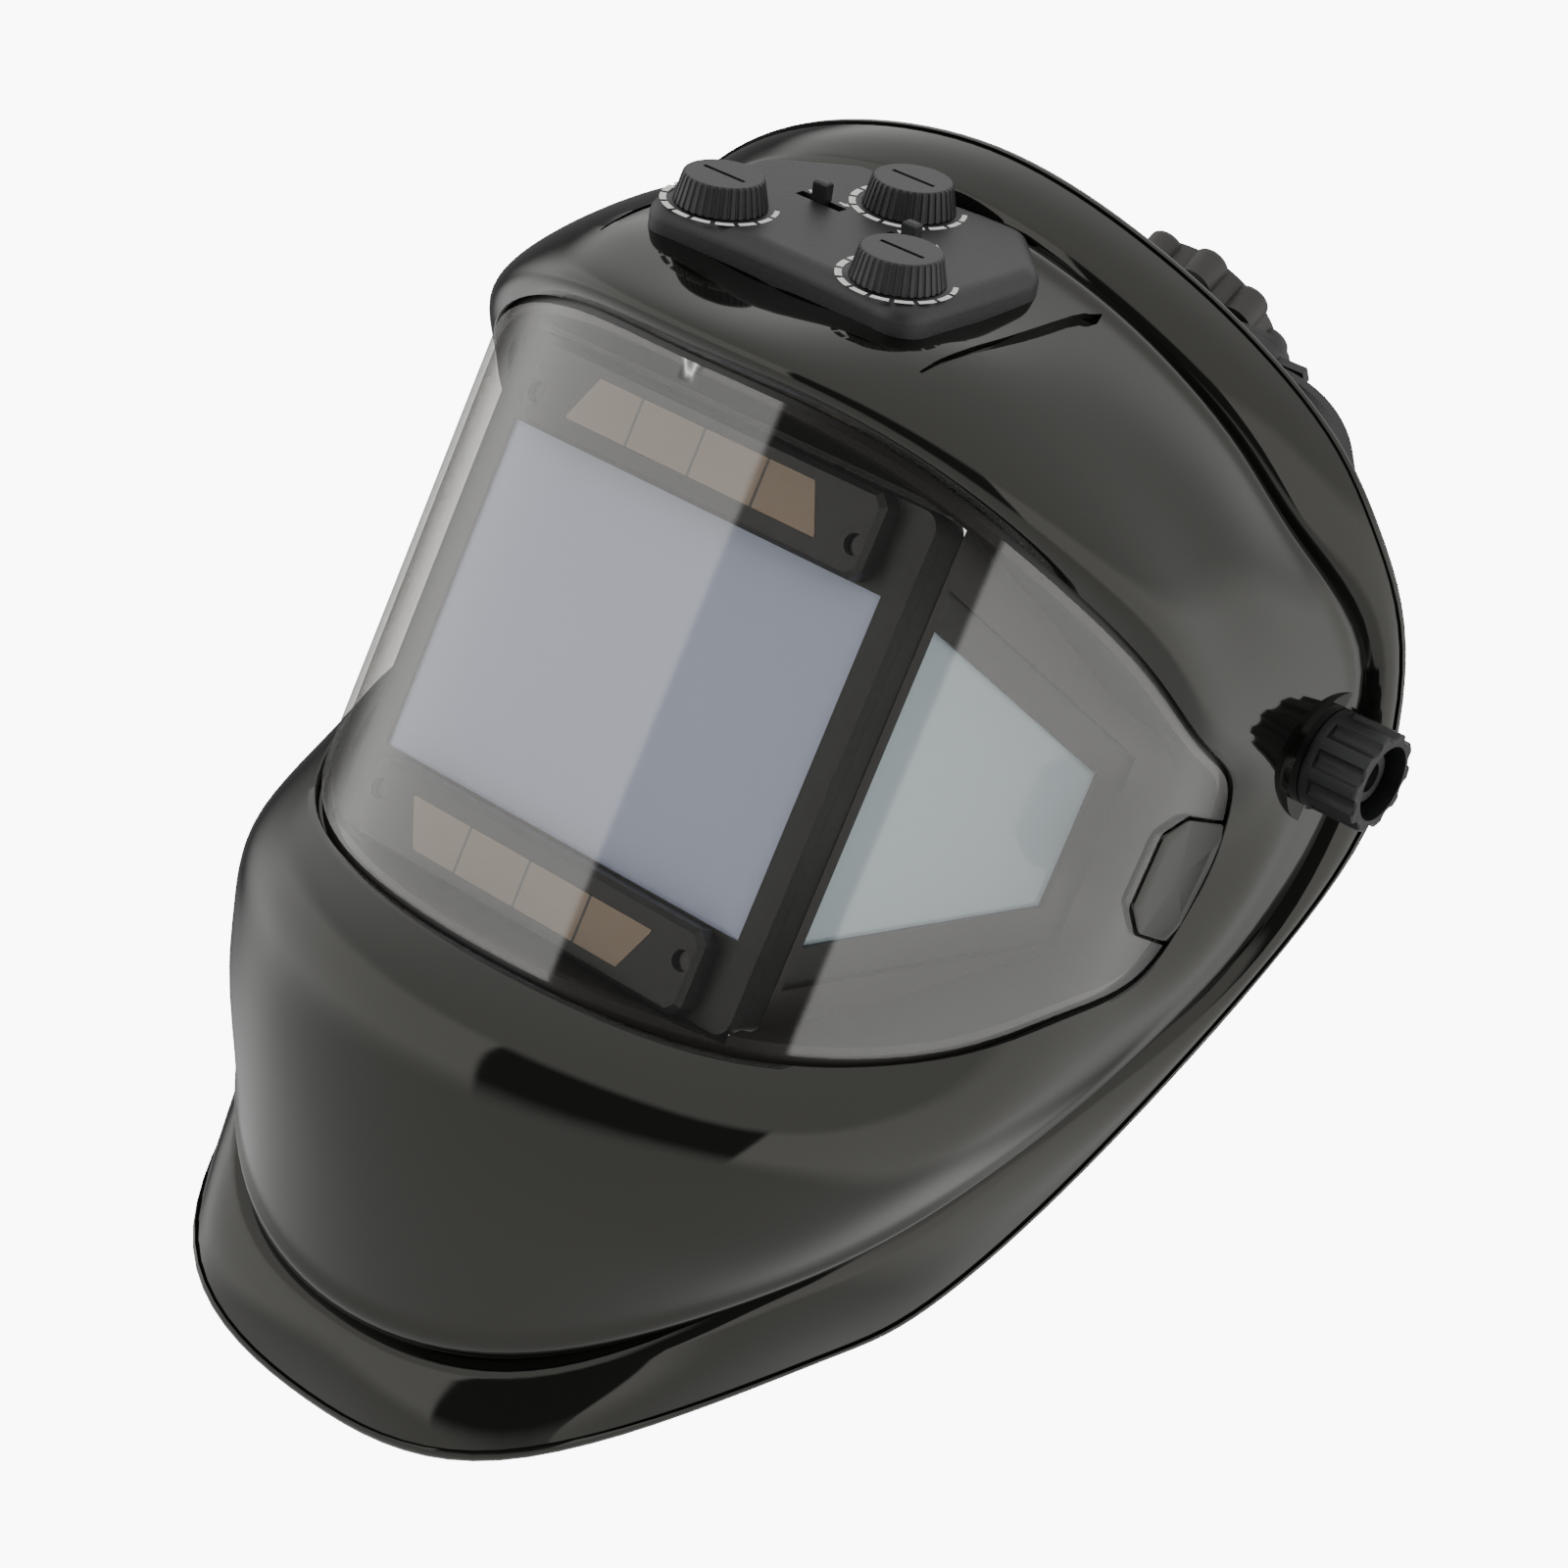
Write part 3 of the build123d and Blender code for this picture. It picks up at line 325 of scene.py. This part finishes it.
def face_outwards(piece, weld=False):
    """Turn a closed mesh's faces outwards, and join points that meet when weld is set."""
    scratch = bmesh.new()
    scratch.from_mesh(piece.data)
    if weld:
        bmesh.ops.remove_doubles(scratch, verts=scratch.verts, dist=0.00001)
        bmesh.ops.dissolve_degenerate(scratch, edges=scratch.edges, dist=0.00001)
    bmesh.ops.recalc_face_normals(scratch, faces=scratch.faces)
    scratch.to_mesh(piece.data)
    scratch.free()


def prism_between(low, high):
    """Closed prism from two matching outlines."""
    count = len(low)
    faces = [tuple(range(count))[::-1], tuple(range(count, 2 * count))]
    faces += [(i, (i + 1) % count, count + (i + 1) % count, count + i) for i in range(count)]
    return list(low) + list(high), faces


def join_meshes(parts):
    """One list of vertices and faces from several."""
    vertices = []
    faces = []
    for some_vertices, some_faces in parts:
        start = len(vertices)
        vertices += [tuple(v) for v in some_vertices]
        faces += [tuple(start + k for k in face) for face in some_faces]
    return vertices, faces


def ring_points(radius, count):
    """Points round a circle."""
    turns = [2 * math.pi * i / count for i in range(count)]
    return [(radius * math.cos(turn), radius * math.sin(turn)) for turn in turns]


def bar_x(radius, x_from, x_to):
    """Round bar on the tilt axis as vertices and faces."""
    circle = ring_points(radius, 48)
    low = [(x_from, y, z) for y, z in circle]
    high = [(x_to, y, z) for y, z in circle]
    return prism_between(low, high)


def on_console(x, y, height):
    """Point of the console's own plane in the row frame."""
    cos = math.cos(CONSOLE_TILT)
    sin = math.sin(CONSOLE_TILT)
    back = y * cos - height * sin
    up = y * sin + height * cos
    return (x, CONSOLE_ORIGIN[1] + back, CONSOLE_ORIGIN[2] + up)


def rounded_outline(corners, radius, steps=6):
    """Polygon with its corners rounded by a curve that touches both sides."""
    points = []
    count = len(corners)
    for i in range(count):
        corner = Vector(corners[i])
        back = (Vector(corners[i - 1]) - corner).normalized()
        ahead = (Vector(corners[(i + 1) % count]) - corner).normalized()
        half = math.acos(max(-1.0, min(1.0, back.dot(ahead)))) / 2
        reach = radius / math.tan(half)
        start = corner + back * reach
        end = corner + ahead * reach
        for k in range(steps + 1):
            t = k / steps
            points.append(tuple(start * (1 - t) ** 2 + corner * 2 * t * (1 - t) + end * t * t))
    return points


def console_opening():
    """Opening in the shell that the console's plug fills."""
    left_side = [(32.8, -24.6), (34.2, 13.6), (20.6, 27.8)]
    right_side = [(-x, y) for x, y in reversed(left_side)]
    outline = rounded_outline(left_side + right_side, 4)
    low = [on_console(x, y, -30) for x, y in outline]
    high = [on_console(x, y, 12) for x, y in outline]
    return prism_between(low, high)


def nearest_surface(x, y):
    """Shell surface point and normal under a point of the console's plane."""
    cos = math.cos(CONSOLE_TILT)
    sin = math.sin(CONSOLE_TILT)
    offset = SHELL - np.array(CONSOLE_ORIGIN)
    local_x = SHELL[:, :, 0]
    local_y = offset[:, :, 1] * cos + offset[:, :, 2] * sin
    height = -offset[:, :, 1] * sin + offset[:, :, 2] * cos
    too_low = np.where(height < -45, 1e6, 0)
    gap = (local_x - x) ** 2 + (local_y - y) ** 2 + too_low
    best = np.argsort(gap, axis=None)[:4]
    picks = [np.unravel_index(k, gap.shape) for k in best]
    weights = np.array([1 / (gap[p] + 0.05) for p in picks])
    weights /= weights.sum()
    normal = sum(w * SHELL_NORMALS[p] for w, p in zip(weights, picks))
    normal /= np.linalg.norm(normal)
    level = sum(w * height[p] for w, p in zip(weights, picks))
    return np.array(on_console(x, y, level)), normal


def scoop(side):
    """Cutter for the shallow scoop beside the console: it widens to the back and ends round."""
    steps = 16
    depth = 1.5
    clear = 3.0
    low = []
    high = []
    for edge in (-1, 1):
        marks = range(steps + 1) if edge < 0 else range(steps, -1, -1)
        for k in marks:
            t = k / steps
            if t < 0.9:
                width = 0.5 + 3.6 * t ** 0.8
            else:
                width = 3.8 * (1 - (t - 0.9) / 0.1) ** 0.5 + 0.3
            x = 42.5 + 4.5 * t + edge * width / 2
            y = -30 + 55 * t
            point, normal = nearest_surface(side * x, y)
            low.append(point - normal * depth)
            high.append(point + normal * clear)
    return prism_between(low, high)


def cut(piece, parts):
    """Take closed shapes out of a piece, then drop the cutter."""
    vertices, faces = join_meshes(parts)
    cutter = mesh_object("cutter", vertices, faces, smooth=False)
    face_outwards(cutter)
    modifier = piece.modifiers.new("cut", "BOOLEAN")
    modifier.operation = "DIFFERENCE"
    modifier.solver = "EXACT"
    modifier.object = cutter
    evaluated = piece.evaluated_get(bpy.context.evaluated_depsgraph_get())
    baked = bpy.data.meshes.new_from_object(evaluated)
    piece.modifiers.clear()
    piece.data = baked
    bpy.data.objects.remove(cutter)


def shade_by_angle(piece, degrees=32):
    """Smooth shading that keeps edges sharper than the angle."""
    piece.data.polygons.foreach_set("use_smooth", [True] * len(piece.data.polygons))
    piece.data.set_sharp_from_angle(angle=math.radians(degrees))


# Materials

def principled(name, colour, roughness, **sockets):
    """Plain material; a socket's name has _ for each space."""
    material = bpy.data.materials.new(name)
    material.use_nodes = True
    shader = material.node_tree.nodes["Principled BSDF"]
    shader.inputs["Base Color"].default_value = (*colour, 1.0)
    shader.inputs["Roughness"].default_value = roughness
    for socket, value in sockets.items():
        shader.inputs[socket.replace("_", " ")].default_value = value
    return material


def add_grain(material, scale, strength, distance=0.0002):
    """Fine moulded texture."""
    tree = material.node_tree
    noise = tree.nodes.new("ShaderNodeTexNoise")
    noise.inputs["Scale"].default_value = scale
    noise.inputs["Detail"].default_value = 3.0
    bump = tree.nodes.new("ShaderNodeBump")
    bump.inputs["Strength"].default_value = strength
    bump.inputs["Distance"].default_value = distance
    place = tree.nodes.new("ShaderNodeTexCoord")
    tree.links.new(place.outputs["Object"], noise.inputs["Vector"])
    tree.links.new(noise.outputs["Fac"], bump.inputs["Height"])
    tree.links.new(bump.outputs["Normal"], tree.nodes["Principled BSDF"].inputs["Normal"])
    return material


def math_node(tree, operation, *values):
    """Output of a Math node whose inputs are links or numbers."""
    node = tree.nodes.new("ShaderNodeMath")
    node.operation = operation
    for socket, value in zip(node.inputs, values):
        if isinstance(value, (int, float)):
            socket.default_value = value
        else:
            tree.links.new(value, socket)
    return node.outputs["Value"]


def shell_material():
    """Glossy black plastic with a slightly warm shine."""
    colour = (0.004, 0.0043, 0.0038)
    shine = (1.0, 0.985, 0.9, 1.0)
    return principled("gloss_black", colour, 0.06, IOR=1.5, Specular_Tint=shine)


def lens_material():
    """Clear sheet: lets light straight through and mirrors more at a glancing angle."""
    material = bpy.data.materials.new("clear_lens")
    material.use_nodes = True
    tree = material.node_tree
    tree.nodes.clear()
    out = tree.nodes.new("ShaderNodeOutputMaterial")
    mix = tree.nodes.new("ShaderNodeMixShader")
    clear = tree.nodes.new("ShaderNodeBsdfTransparent")
    clear.inputs["Color"].default_value = (0.90, 0.895, 0.88, 1.0)
    gloss = tree.nodes.new("ShaderNodeBsdfPrincipled")
    gloss.inputs["Base Color"].default_value = (0.92, 0.92, 0.91, 1.0)
    gloss.inputs["Metallic"].default_value = 1.0
    gloss.inputs["Roughness"].default_value = 0.02
    facing = tree.nodes.new("ShaderNodeLayerWeight")
    facing.inputs["Blend"].default_value = 0.5
    glancing = math_node(tree, "POWER", facing.outputs["Facing"], 4.0)
    share = math_node(tree, "MULTIPLY_ADD", glancing, 0.55, 0.058)
    tree.links.new(share, mix.inputs["Fac"])
    tree.links.new(clear.outputs["BSDF"], mix.inputs[1])
    tree.links.new(gloss.outputs["BSDF"], mix.inputs[2])
    tree.links.new(mix.outputs["Shader"], out.inputs["Surface"])
    return material


def solar_material():
    """Brown cells with fine lines between them (half a cell and a line's width, in metres)."""
    half_cell = 0.0085
    line = 0.00035
    material = principled("solar_cells", (0.24, 0.18, 0.13), 0.28, Coat_Weight=0.3)
    tree = material.node_tree
    place = tree.nodes.new("ShaderNodeTexCoord")
    split = tree.nodes.new("ShaderNodeSeparateXYZ")
    tree.links.new(place.outputs["Object"], split.inputs["Vector"])
    along = math_node(tree, "PINGPONG", split.outputs["X"], half_cell)
    on_line = math_node(tree, "LESS_THAN", along, line)
    mix = tree.nodes.new("ShaderNodeMix")
    mix.data_type = "RGBA"
    mix.inputs["A"].default_value = (0.25, 0.18, 0.125, 1.0)
    mix.inputs["B"].default_value = (0.05, 0.04, 0.035, 1.0)
    tree.links.new(on_line, mix.inputs["Factor"])
    tree.links.new(mix.outputs["Result"], tree.nodes["Principled BSDF"].inputs["Base Color"])
    return material


def paint(names, material):
    """Give CAD nodes their material."""
    for name in names:
        piece = nodes[name]
        piece.data.materials.clear()
        piece.data.materials.append(material)
        shade_by_angle(piece, 30)


def paint_cad():
    """Materials of every CAD node that shows."""
    bezel = principled("bezel", (0.012, 0.0105, 0.009), 0.4)
    housing = principled("cartridge", (0.016, 0.016, 0.017), 0.42)
    charcoal = add_grain(principled("console_charcoal", (0.012, 0.0125, 0.0125), 0.5), 900, 0.25)
    dial_black = add_grain(principled("dial_charcoal", (0.011, 0.0115, 0.012), 0.48), 1200, 0.2)
    knob_black = add_grain(principled("knob_black", (0.008, 0.0085, 0.009), 0.4), 1200, 0.15)
    ratchet = principled("ratchet_brown", (0.03, 0.028, 0.026), 0.55)
    band = principled("band_black", (0.02, 0.02, 0.02), 0.45)
    front_glass = principled("front_filter", (0.45, 0.50, 0.68), 0.12, Coat_Weight=0.3)
    side_glass = principled("side_filter", (0.50, 0.63, 0.72), 0.12, Coat_Weight=0.3)
    clear = principled("inner_clear", (0.85, 0.86, 0.86), 0.08, Alpha=0.25)
    steel = principled("zinc_steel", (0.6, 0.6, 0.61), 0.3, Metallic=1.0)
    brass = principled("turned_brass", (0.75, 0.56, 0.27), 0.3, Metallic=1.0)
    acetal = principled("acetal", (0.3, 0.3, 0.31), 0.45)
    board = principled("board", (0.03, 0.12, 0.06), 0.4)
    dark = principled("component", (0.025, 0.025, 0.025), 0.4)
    sensor = principled("sensor", (0.01, 0.01, 0.012), 0.15)
    paint(("lens_retaining_frame", "filter_carrier"), bezel)
    paint(("adf_front_housing", "adf_rear_housing", "battery_drawer"), housing)
    paint(("side_filter_frame_left", "side_filter_frame_right"), housing)
    paint(("console_housing",), charcoal)
    paint(("dial_sensitivity", "dial_shade", "dial_delay"), dial_black)
    paint(("switch_slider_range", "switch_slider_mode"), dial_black)
    paint(("side_knob_left", "side_knob_right"), knob_black)
    paint(("ratchet_knob",), ratchet)
    paint(("headband", "side_arm_left", "side_arm_right"), band)
    paint(("crown_strap_left", "crown_strap_right"), band)
    paint(("ratchet_housing", "ratchet_cover", "rear_rack_left", "rear_rack_right"), band)
    paint(("adf_filter_glass",), front_glass)
    paint(("side_filter_glass_left", "side_filter_glass_right"), side_glass)
    paint(("adf_inner_cover", "side_inner_cover_left", "side_inner_cover_right"), clear)
    paint(("pivot_bolt_left", "pivot_bolt_right"), steel)
    paint(("tilt_stop_washer_left", "tilt_stop_washer_right"), steel)
    paint(("adf_screws", "console_screws", "battery_cell"), steel)
    paint(("knob_insert_left", "knob_insert_right"), brass)
    paint(("slide_block_left", "slide_block_right"), acetal)
    paint(("friction_washer_left", "friction_washer_right"), acetal)
    paint(("adf_circuit_board", "console_circuit_board"), board)
    paint(("potentiometers", "slide_switch_bodies", "console_lead", "headgear_rivets"), dark)
    paint(("crown_peg", "ratchet_pinion"), dark)
    paint(("light_sensors",), sensor)
    paint(("solar_cell_top", "solar_cell_bottom"), solar_material())


# Pieces that stand for CAD nodes

def lug_outline(share):
    """The lug's rounded outline as (y, z), drawn in or out about its middle."""
    outline = np.array(rounded_outline(LUG_OUTLINE, 3, 5))
    centre = outline.mean(axis=0)
    return centre + (outline - centre) * share


def lug(side):
    """Shell tab that holds the back edge of the lens, bent to the lens's curve."""
    low = -LENS_THICKNESS
    top = 0.5
    layers = ((1.0, low), (1.0, -0.1), (0.985, 0.35), (0.95, top), (0.7, top), (0.4, top), (0.1, top))
    vertices = []
    for share, rise in layers:
        reach = LENS_RADIUS + rise
        for y, z in lug_outline(share):
            vertices.append((side * math.sqrt(reach ** 2 - (y - LENS_AXIS_Y) ** 2), y, z))
    count = len(vertices) // len(layers)
    faces = []
    for layer in range(len(layers) - 1):
        for i in range(count):
            k = (i + 1) % count
            a = layer * count
            faces.append((a + i, a + k, a + count + k, a + count + i))
    faces.append(tuple(range((len(layers) - 1) * count, len(layers) * count)))
    faces.append(tuple(range(count))[::-1])
    if side < 0:
        faces = [face[::-1] for face in faces]
    piece = mesh_object("lens_lug", vertices, faces)
    shade_by_angle(piece, 40)
    return piece


def build_shell(gloss):
    """The shell's wall with its openings, the bosses at the pivots and the lugs of the lens."""
    shell = shell_mesh()
    cutters = [console_opening(), scoop(1), scoop(-1)]
    for side in (1, -1):
        cutters.append(bar_x(KNOB_RECESS_RADIUS, side * 106.2, side * 130))
        cutters.append(bar_x(SHOULDER_RADIUS, side * 96, side * 105.0))
    cut(shell, cutters)
    shade_by_angle(shell, 42)
    shell.data.materials.append(gloss)
    bosses = [boss_ring(side) for side in (1, -1)]
    lugs = [lug(side) for side in (1, -1)]
    for piece in bosses + lugs:
        piece.data.materials.append(gloss)
    for piece in [shell] + bosses + lugs:
        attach(piece, "shell")
        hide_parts("helmet_shell")


def boss_ring(side):
    """Flat boss behind the side knob, bored for the pivot's shoulder."""
    count = 64
    low = [(SHOULDER_RADIUS, BOSS_INSIDE), (BOSS_RADIUS, BOSS_INSIDE)]
    high = [(BOSS_RADIUS, BOSS_FACE), (SHOULDER_RADIUS, BOSS_FACE)]
    vertices = []
    for i in range(count):
        turn = 2 * math.pi * i / count
        for radius, x in low + high:
            vertices.append((side * x, radius * math.cos(turn), radius * math.sin(turn)))
    faces = []
    for i in range(count):
        a = i * 4
        b = ((i + 1) % count) * 4
        for k in range(4):
            m = (k + 1) % 4
            face = (a + k, b + k, b + m, a + m)
            faces.append(face if side > 0 else face[::-1])
    piece = mesh_object("pivot_boss", vertices, faces)
    shade_by_angle(piece, 40)
    return piece


def lens_edge(t):
    """Point (angle about the lens axis, height) of the lens outline, inside the shell's edge."""
    here = GUIDES[0].at(t * GUIDE_KNOTS[-1])
    before = GUIDES[0].at(max(t - 0.002, 0) * GUIDE_KNOTS[-1])
    after = GUIDES[0].at(min(t + 0.002, 1) * GUIDE_KNOTS[-1])
    along = (after - before)[1:]
    along /= np.linalg.norm(along)
    y = here[1] + LENS_GAP * along[1]
    z = here[2] - LENS_GAP * along[0]
    cos = (LENS_AXIS_Y - y) / LENS_RADIUS
    return math.acos(max(-1.0, min(1.0, cos))), z


def lens_half(columns, rows):
    """Grid of (angle, height) over the lens's left half, from its middle to where its edge turns back."""
    tries = np.linspace(0.3, 0.6, 121)
    turn_at = tries[int(np.argmax([lens_edge(t)[0] for t in tries]))]
    points = []
    for i in range(columns):
        s = i / (columns - 1)
        top_angle, top_z = lens_edge(s * turn_at)
        low_angle, low_z = lens_edge(1 - s * (1 - turn_at))
        for j in range(rows):
            w = j / (rows - 1)
            points.append((top_angle * (1 - w) + low_angle * w, top_z * (1 - w) + low_z * w))
    return points


def build_lens(material):
    """Curved clear lens with notches for the shell's lugs."""
    columns = 70
    rows = 24
    half = lens_half(columns, rows)
    layers = []
    for radius in (LENS_RADIUS, LENS_RADIUS - LENS_THICKNESS):
        for side in (1, -1):
            sheet = [(radius * math.sin(a), radius * math.cos(a), z) for a, z in half]
            layers.append([(side * x, LENS_AXIS_Y - ahead, z) for x, ahead, z in sheet])
    vertices = []
    faces = []
    for index, layer in enumerate(layers):
        start = len(vertices)
        vertices += layer
        side = 1 if index % 2 == 0 else -1
        outside = index < 2
        for face in grid_faces(columns, rows, False):
            face = tuple(start + k for k in face)
            flip = (side > 0) == outside
            faces.append(face[::-1] if flip else face)
    count = columns * rows
    for side in (0, 1):
        outer = side * count
        inner = (side + 2) * count
        for i in range(columns - 1):
            for j in (0, rows - 1):
                a = i * rows + j
                b = (i + 1) * rows + j
                faces.append((outer + a, outer + b, inner + b, inner + a))
    piece = mesh_object("cover_lens", vertices, faces)
    face_outwards(piece, weld=True)
    notches = []
    outline = lug_outline(LUG_CLEARANCE)
    for side in (1, -1):
        low = [(side * 60, y, z) for y, z in outline]
        high = [(side * 125, y, z) for y, z in outline]
        notches.append(prism_between(low, high))
    cut(piece, notches)
    shade_by_angle(piece, 35)
    piece.data.materials.clear()
    piece.data.materials.append(material)
    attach(piece, "shell")
    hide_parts("front_cover_lens")


def head_point(x, y, z):
    """Headgear point drawn level, tilted into its resting place."""
    cos = math.cos(HEAD_TILT)
    sin = math.sin(HEAD_TILT)
    return (x, y * cos - z * sin, y * sin + z * cos)


def round_end(steps_from_end):
    """Share of a pad's full thickness near its end, which is round in plan."""
    along = min(1.0, (steps_from_end + 0.15) / 2.6)
    return math.sqrt(1 - (1 - along) ** 2)


def soft_block(name, path, thickness, low, high, node, material):
    """Foam pad with full round edges, swept along a plan path of (x, y, outward normal)."""
    ring = 20
    vertices = []
    last = len(path) - 1
    for i, (x, y, nx, ny) in enumerate(path):
        swell = round_end(min(i, last - i))
        for k in range(ring):
            turn = 2 * math.pi * k / ring
            c = math.cos(turn)
            s = math.sin(turn)
            across = math.copysign(abs(c) ** 0.5, c) * thickness / 2 * swell
            up = math.copysign(abs(s) ** 0.3, s) * (high - low) / 2 * (0.85 + 0.15 * swell)
            middle = (low + high) / 2
            vertices.append(head_point(x + nx * across, y + ny * across, middle + up))
    faces = []
    for i in range(last):
        for k in range(ring):
            m = (k + 1) % ring
            faces.append((i * ring + k, i * ring + m, (i + 1) * ring + m, (i + 1) * ring + k))
    faces.append(tuple(range(ring))[::-1])
    faces.append(tuple(range(last * ring, (last + 1) * ring)))
    piece = mesh_object(name, vertices, faces)
    piece.data.materials.append(material)
    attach(piece, "headgear")
    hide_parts(node)


def build_pads():
    """Foam pads at the brow, bent round the headband's inside, and at the nape, flat."""
    cloth = principled("terry_cloth", (0.035, 0.035, 0.038), 0.9, Sheen_Weight=0.3)
    add_grain(cloth, 700, 0.6, 0.0006)
    band_radius = 66.0
    band_thickness = 1.8
    radius = band_radius - band_thickness - 3.6
    brow = []
    for k in range(25):
        turn = math.radians(-66 + 132 * k / 24)
        x = math.sin(turn)
        ahead = math.cos(turn)
        shift = 7.0 * math.copysign(1, x) * min(1.0, abs(turn) / 0.12)
        brow.append((shift + radius * x, -13.0 - radius * ahead, x, -ahead))
    soft_block("sweatband_foam", brow, 6.8, 1, 31, "brow_sweatband", cloth)
    nape = [(-36 + 72 * k / 20, 81.2, 0.0, -1.0) for k in range(21)]
    soft_block("nape_pad_foam", nape, 6.2, -31, 3, "rear_pad", cloth)


def scale_ring(centre):
    """Outlines of a dial's scale: a row of short arcs, each thinner than the one before."""
    segments = 11
    steps = 4
    inner = 11.3
    outlines = []
    for i in range(segments):
        start = math.radians(-220 + 260 * i / segments)
        end = math.radians(-220 + 260 * (i + 0.78) / segments)
        outer = 12.3 + 0.6 * (1 - i / segments)
        turns = [start + (end - start) * k / steps for k in range(steps + 1)]
        spots = [(inner, t) for t in turns] + [(outer, t) for t in reversed(turns)]
        outlines.append([(centre[0] + r * math.cos(t), centre[1] + r * math.sin(t)) for r, t in spots])
    return outlines


def arrow(centre, side):
    """Outline of the arrow on one side of a switch, pointing away from it."""
    base = centre[0] + side * 2.8
    neck = base + side * 1.4
    tip = centre[0] + side * 5.6
    row = centre[1] + 2.7
    shaft = 0.35
    head = 0.9
    lower = [(base, row - shaft), (neck, row - shaft), (neck, row - head)]
    upper = [(neck, row + head), (neck, row + shaft), (base, row + shaft)]
    return lower + [(tip, row)] + upper


def build_scale_marks():
    """White scale rings round the dials and arrows beside the switches, as thin raised print."""
    outlines = []
    for centre in DIAL_SPOTS:
        outlines += scale_ring(centre)
    for centre in SLOT_SPOTS:
        outlines += [arrow(centre, side) for side in (1, -1)]
    parts = []
    for outline in outlines:
        low = [on_console(x, y, 0.02) for x, y in outline]
        high = [on_console(x, y, 0.10) for x, y in outline]
        parts.append(prism_between(low, high))
    vertices, faces = join_meshes(parts)
    piece = mesh_object("console_scale_marks", vertices, faces, smooth=False)
    face_outwards(piece)
    piece.data.materials.append(principled("print_white", (0.75, 0.75, 0.72), 0.6))
    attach(piece, "shell")


# Stage

def ramp(tree, value, start, end):
    """Output that rises smoothly from 0 to 1 while value goes from start to end."""
    node = tree.nodes.new("ShaderNodeMapRange")
    node.interpolation_type = "SMOOTHSTEP"
    node.inputs["From Min"].default_value = start
    node.inputs["From Max"].default_value = end
    tree.links.new(value, node.inputs["Value"])
    return node.outputs["Result"]


def build_studio():
    """White backdrop; two tall bright panels beside a dark gap, a pale ceiling and a pale table."""
    world = bpy.data.worlds.new("studio")
    world.use_nodes = True
    tree = world.node_tree
    tree.nodes.clear()
    place = tree.nodes.new("ShaderNodeTexCoord")
    split = tree.nodes.new("ShaderNodeSeparateXYZ")
    tree.links.new(place.outputs["Generated"], split.inputs["Vector"])
    front = math_node(tree, "MULTIPLY", split.outputs["Y"], -1.0)
    bearing = math_node(tree, "ARCTAN2", split.outputs["X"], front)
    turned = math_node(tree, "SUBTRACT", bearing, GAP_BEARING)
    away = math_node(tree, "ABSOLUTE", turned)
    started = ramp(tree, away, *PANEL_STARTS)
    ended = ramp(tree, away, *PANEL_ENDS)
    panels = math_node(tree, "SUBTRACT", started, ended)
    walls = math_node(tree, "MULTIPLY_ADD", panels, PANEL_LIGHT, GAP_LIGHT)
    ceiling = ramp(tree, split.outputs["Z"], *CEILING_STARTS)
    table = ramp(tree, split.outputs["Z"], *TABLE_STARTS)
    below_ceiling = math_node(tree, "SUBTRACT", 1.0, ceiling)
    middle = math_node(tree, "SUBTRACT", below_ceiling, table)
    light = math_node(tree, "MULTIPLY", walls, middle)
    light = math_node(tree, "MULTIPLY_ADD", ceiling, CEILING_LIGHT, light)
    light = math_node(tree, "MULTIPLY_ADD", table, TABLE_LIGHT, light)
    room = tree.nodes.new("ShaderNodeBackground")
    tree.links.new(light, room.inputs["Strength"])
    white = tree.nodes.new("ShaderNodeBackground")
    rays = tree.nodes.new("ShaderNodeLightPath")
    direct = math_node(tree, "LESS_THAN", rays.outputs["Transparent Depth"], 0.5)
    extra = BACKDROP_LIGHT - BACKDROP_THROUGH_LENS
    backdrop = math_node(tree, "MULTIPLY_ADD", direct, extra, BACKDROP_THROUGH_LENS)
    tree.links.new(backdrop, white.inputs["Strength"])
    mix = tree.nodes.new("ShaderNodeMixShader")
    out = tree.nodes.new("ShaderNodeOutputWorld")
    tree.links.new(rays.outputs["Is Camera Ray"], mix.inputs["Fac"])
    tree.links.new(room.outputs["Background"], mix.inputs[1])
    tree.links.new(white.outputs["Background"], mix.inputs[2])
    tree.links.new(mix.outputs["Shader"], out.inputs["Surface"])
    bpy.context.scene.world = world


make_camera()
paint_cad()
build_shell(shell_material())
build_lens(lens_material())
build_pads()
build_scale_marks()
build_studio()
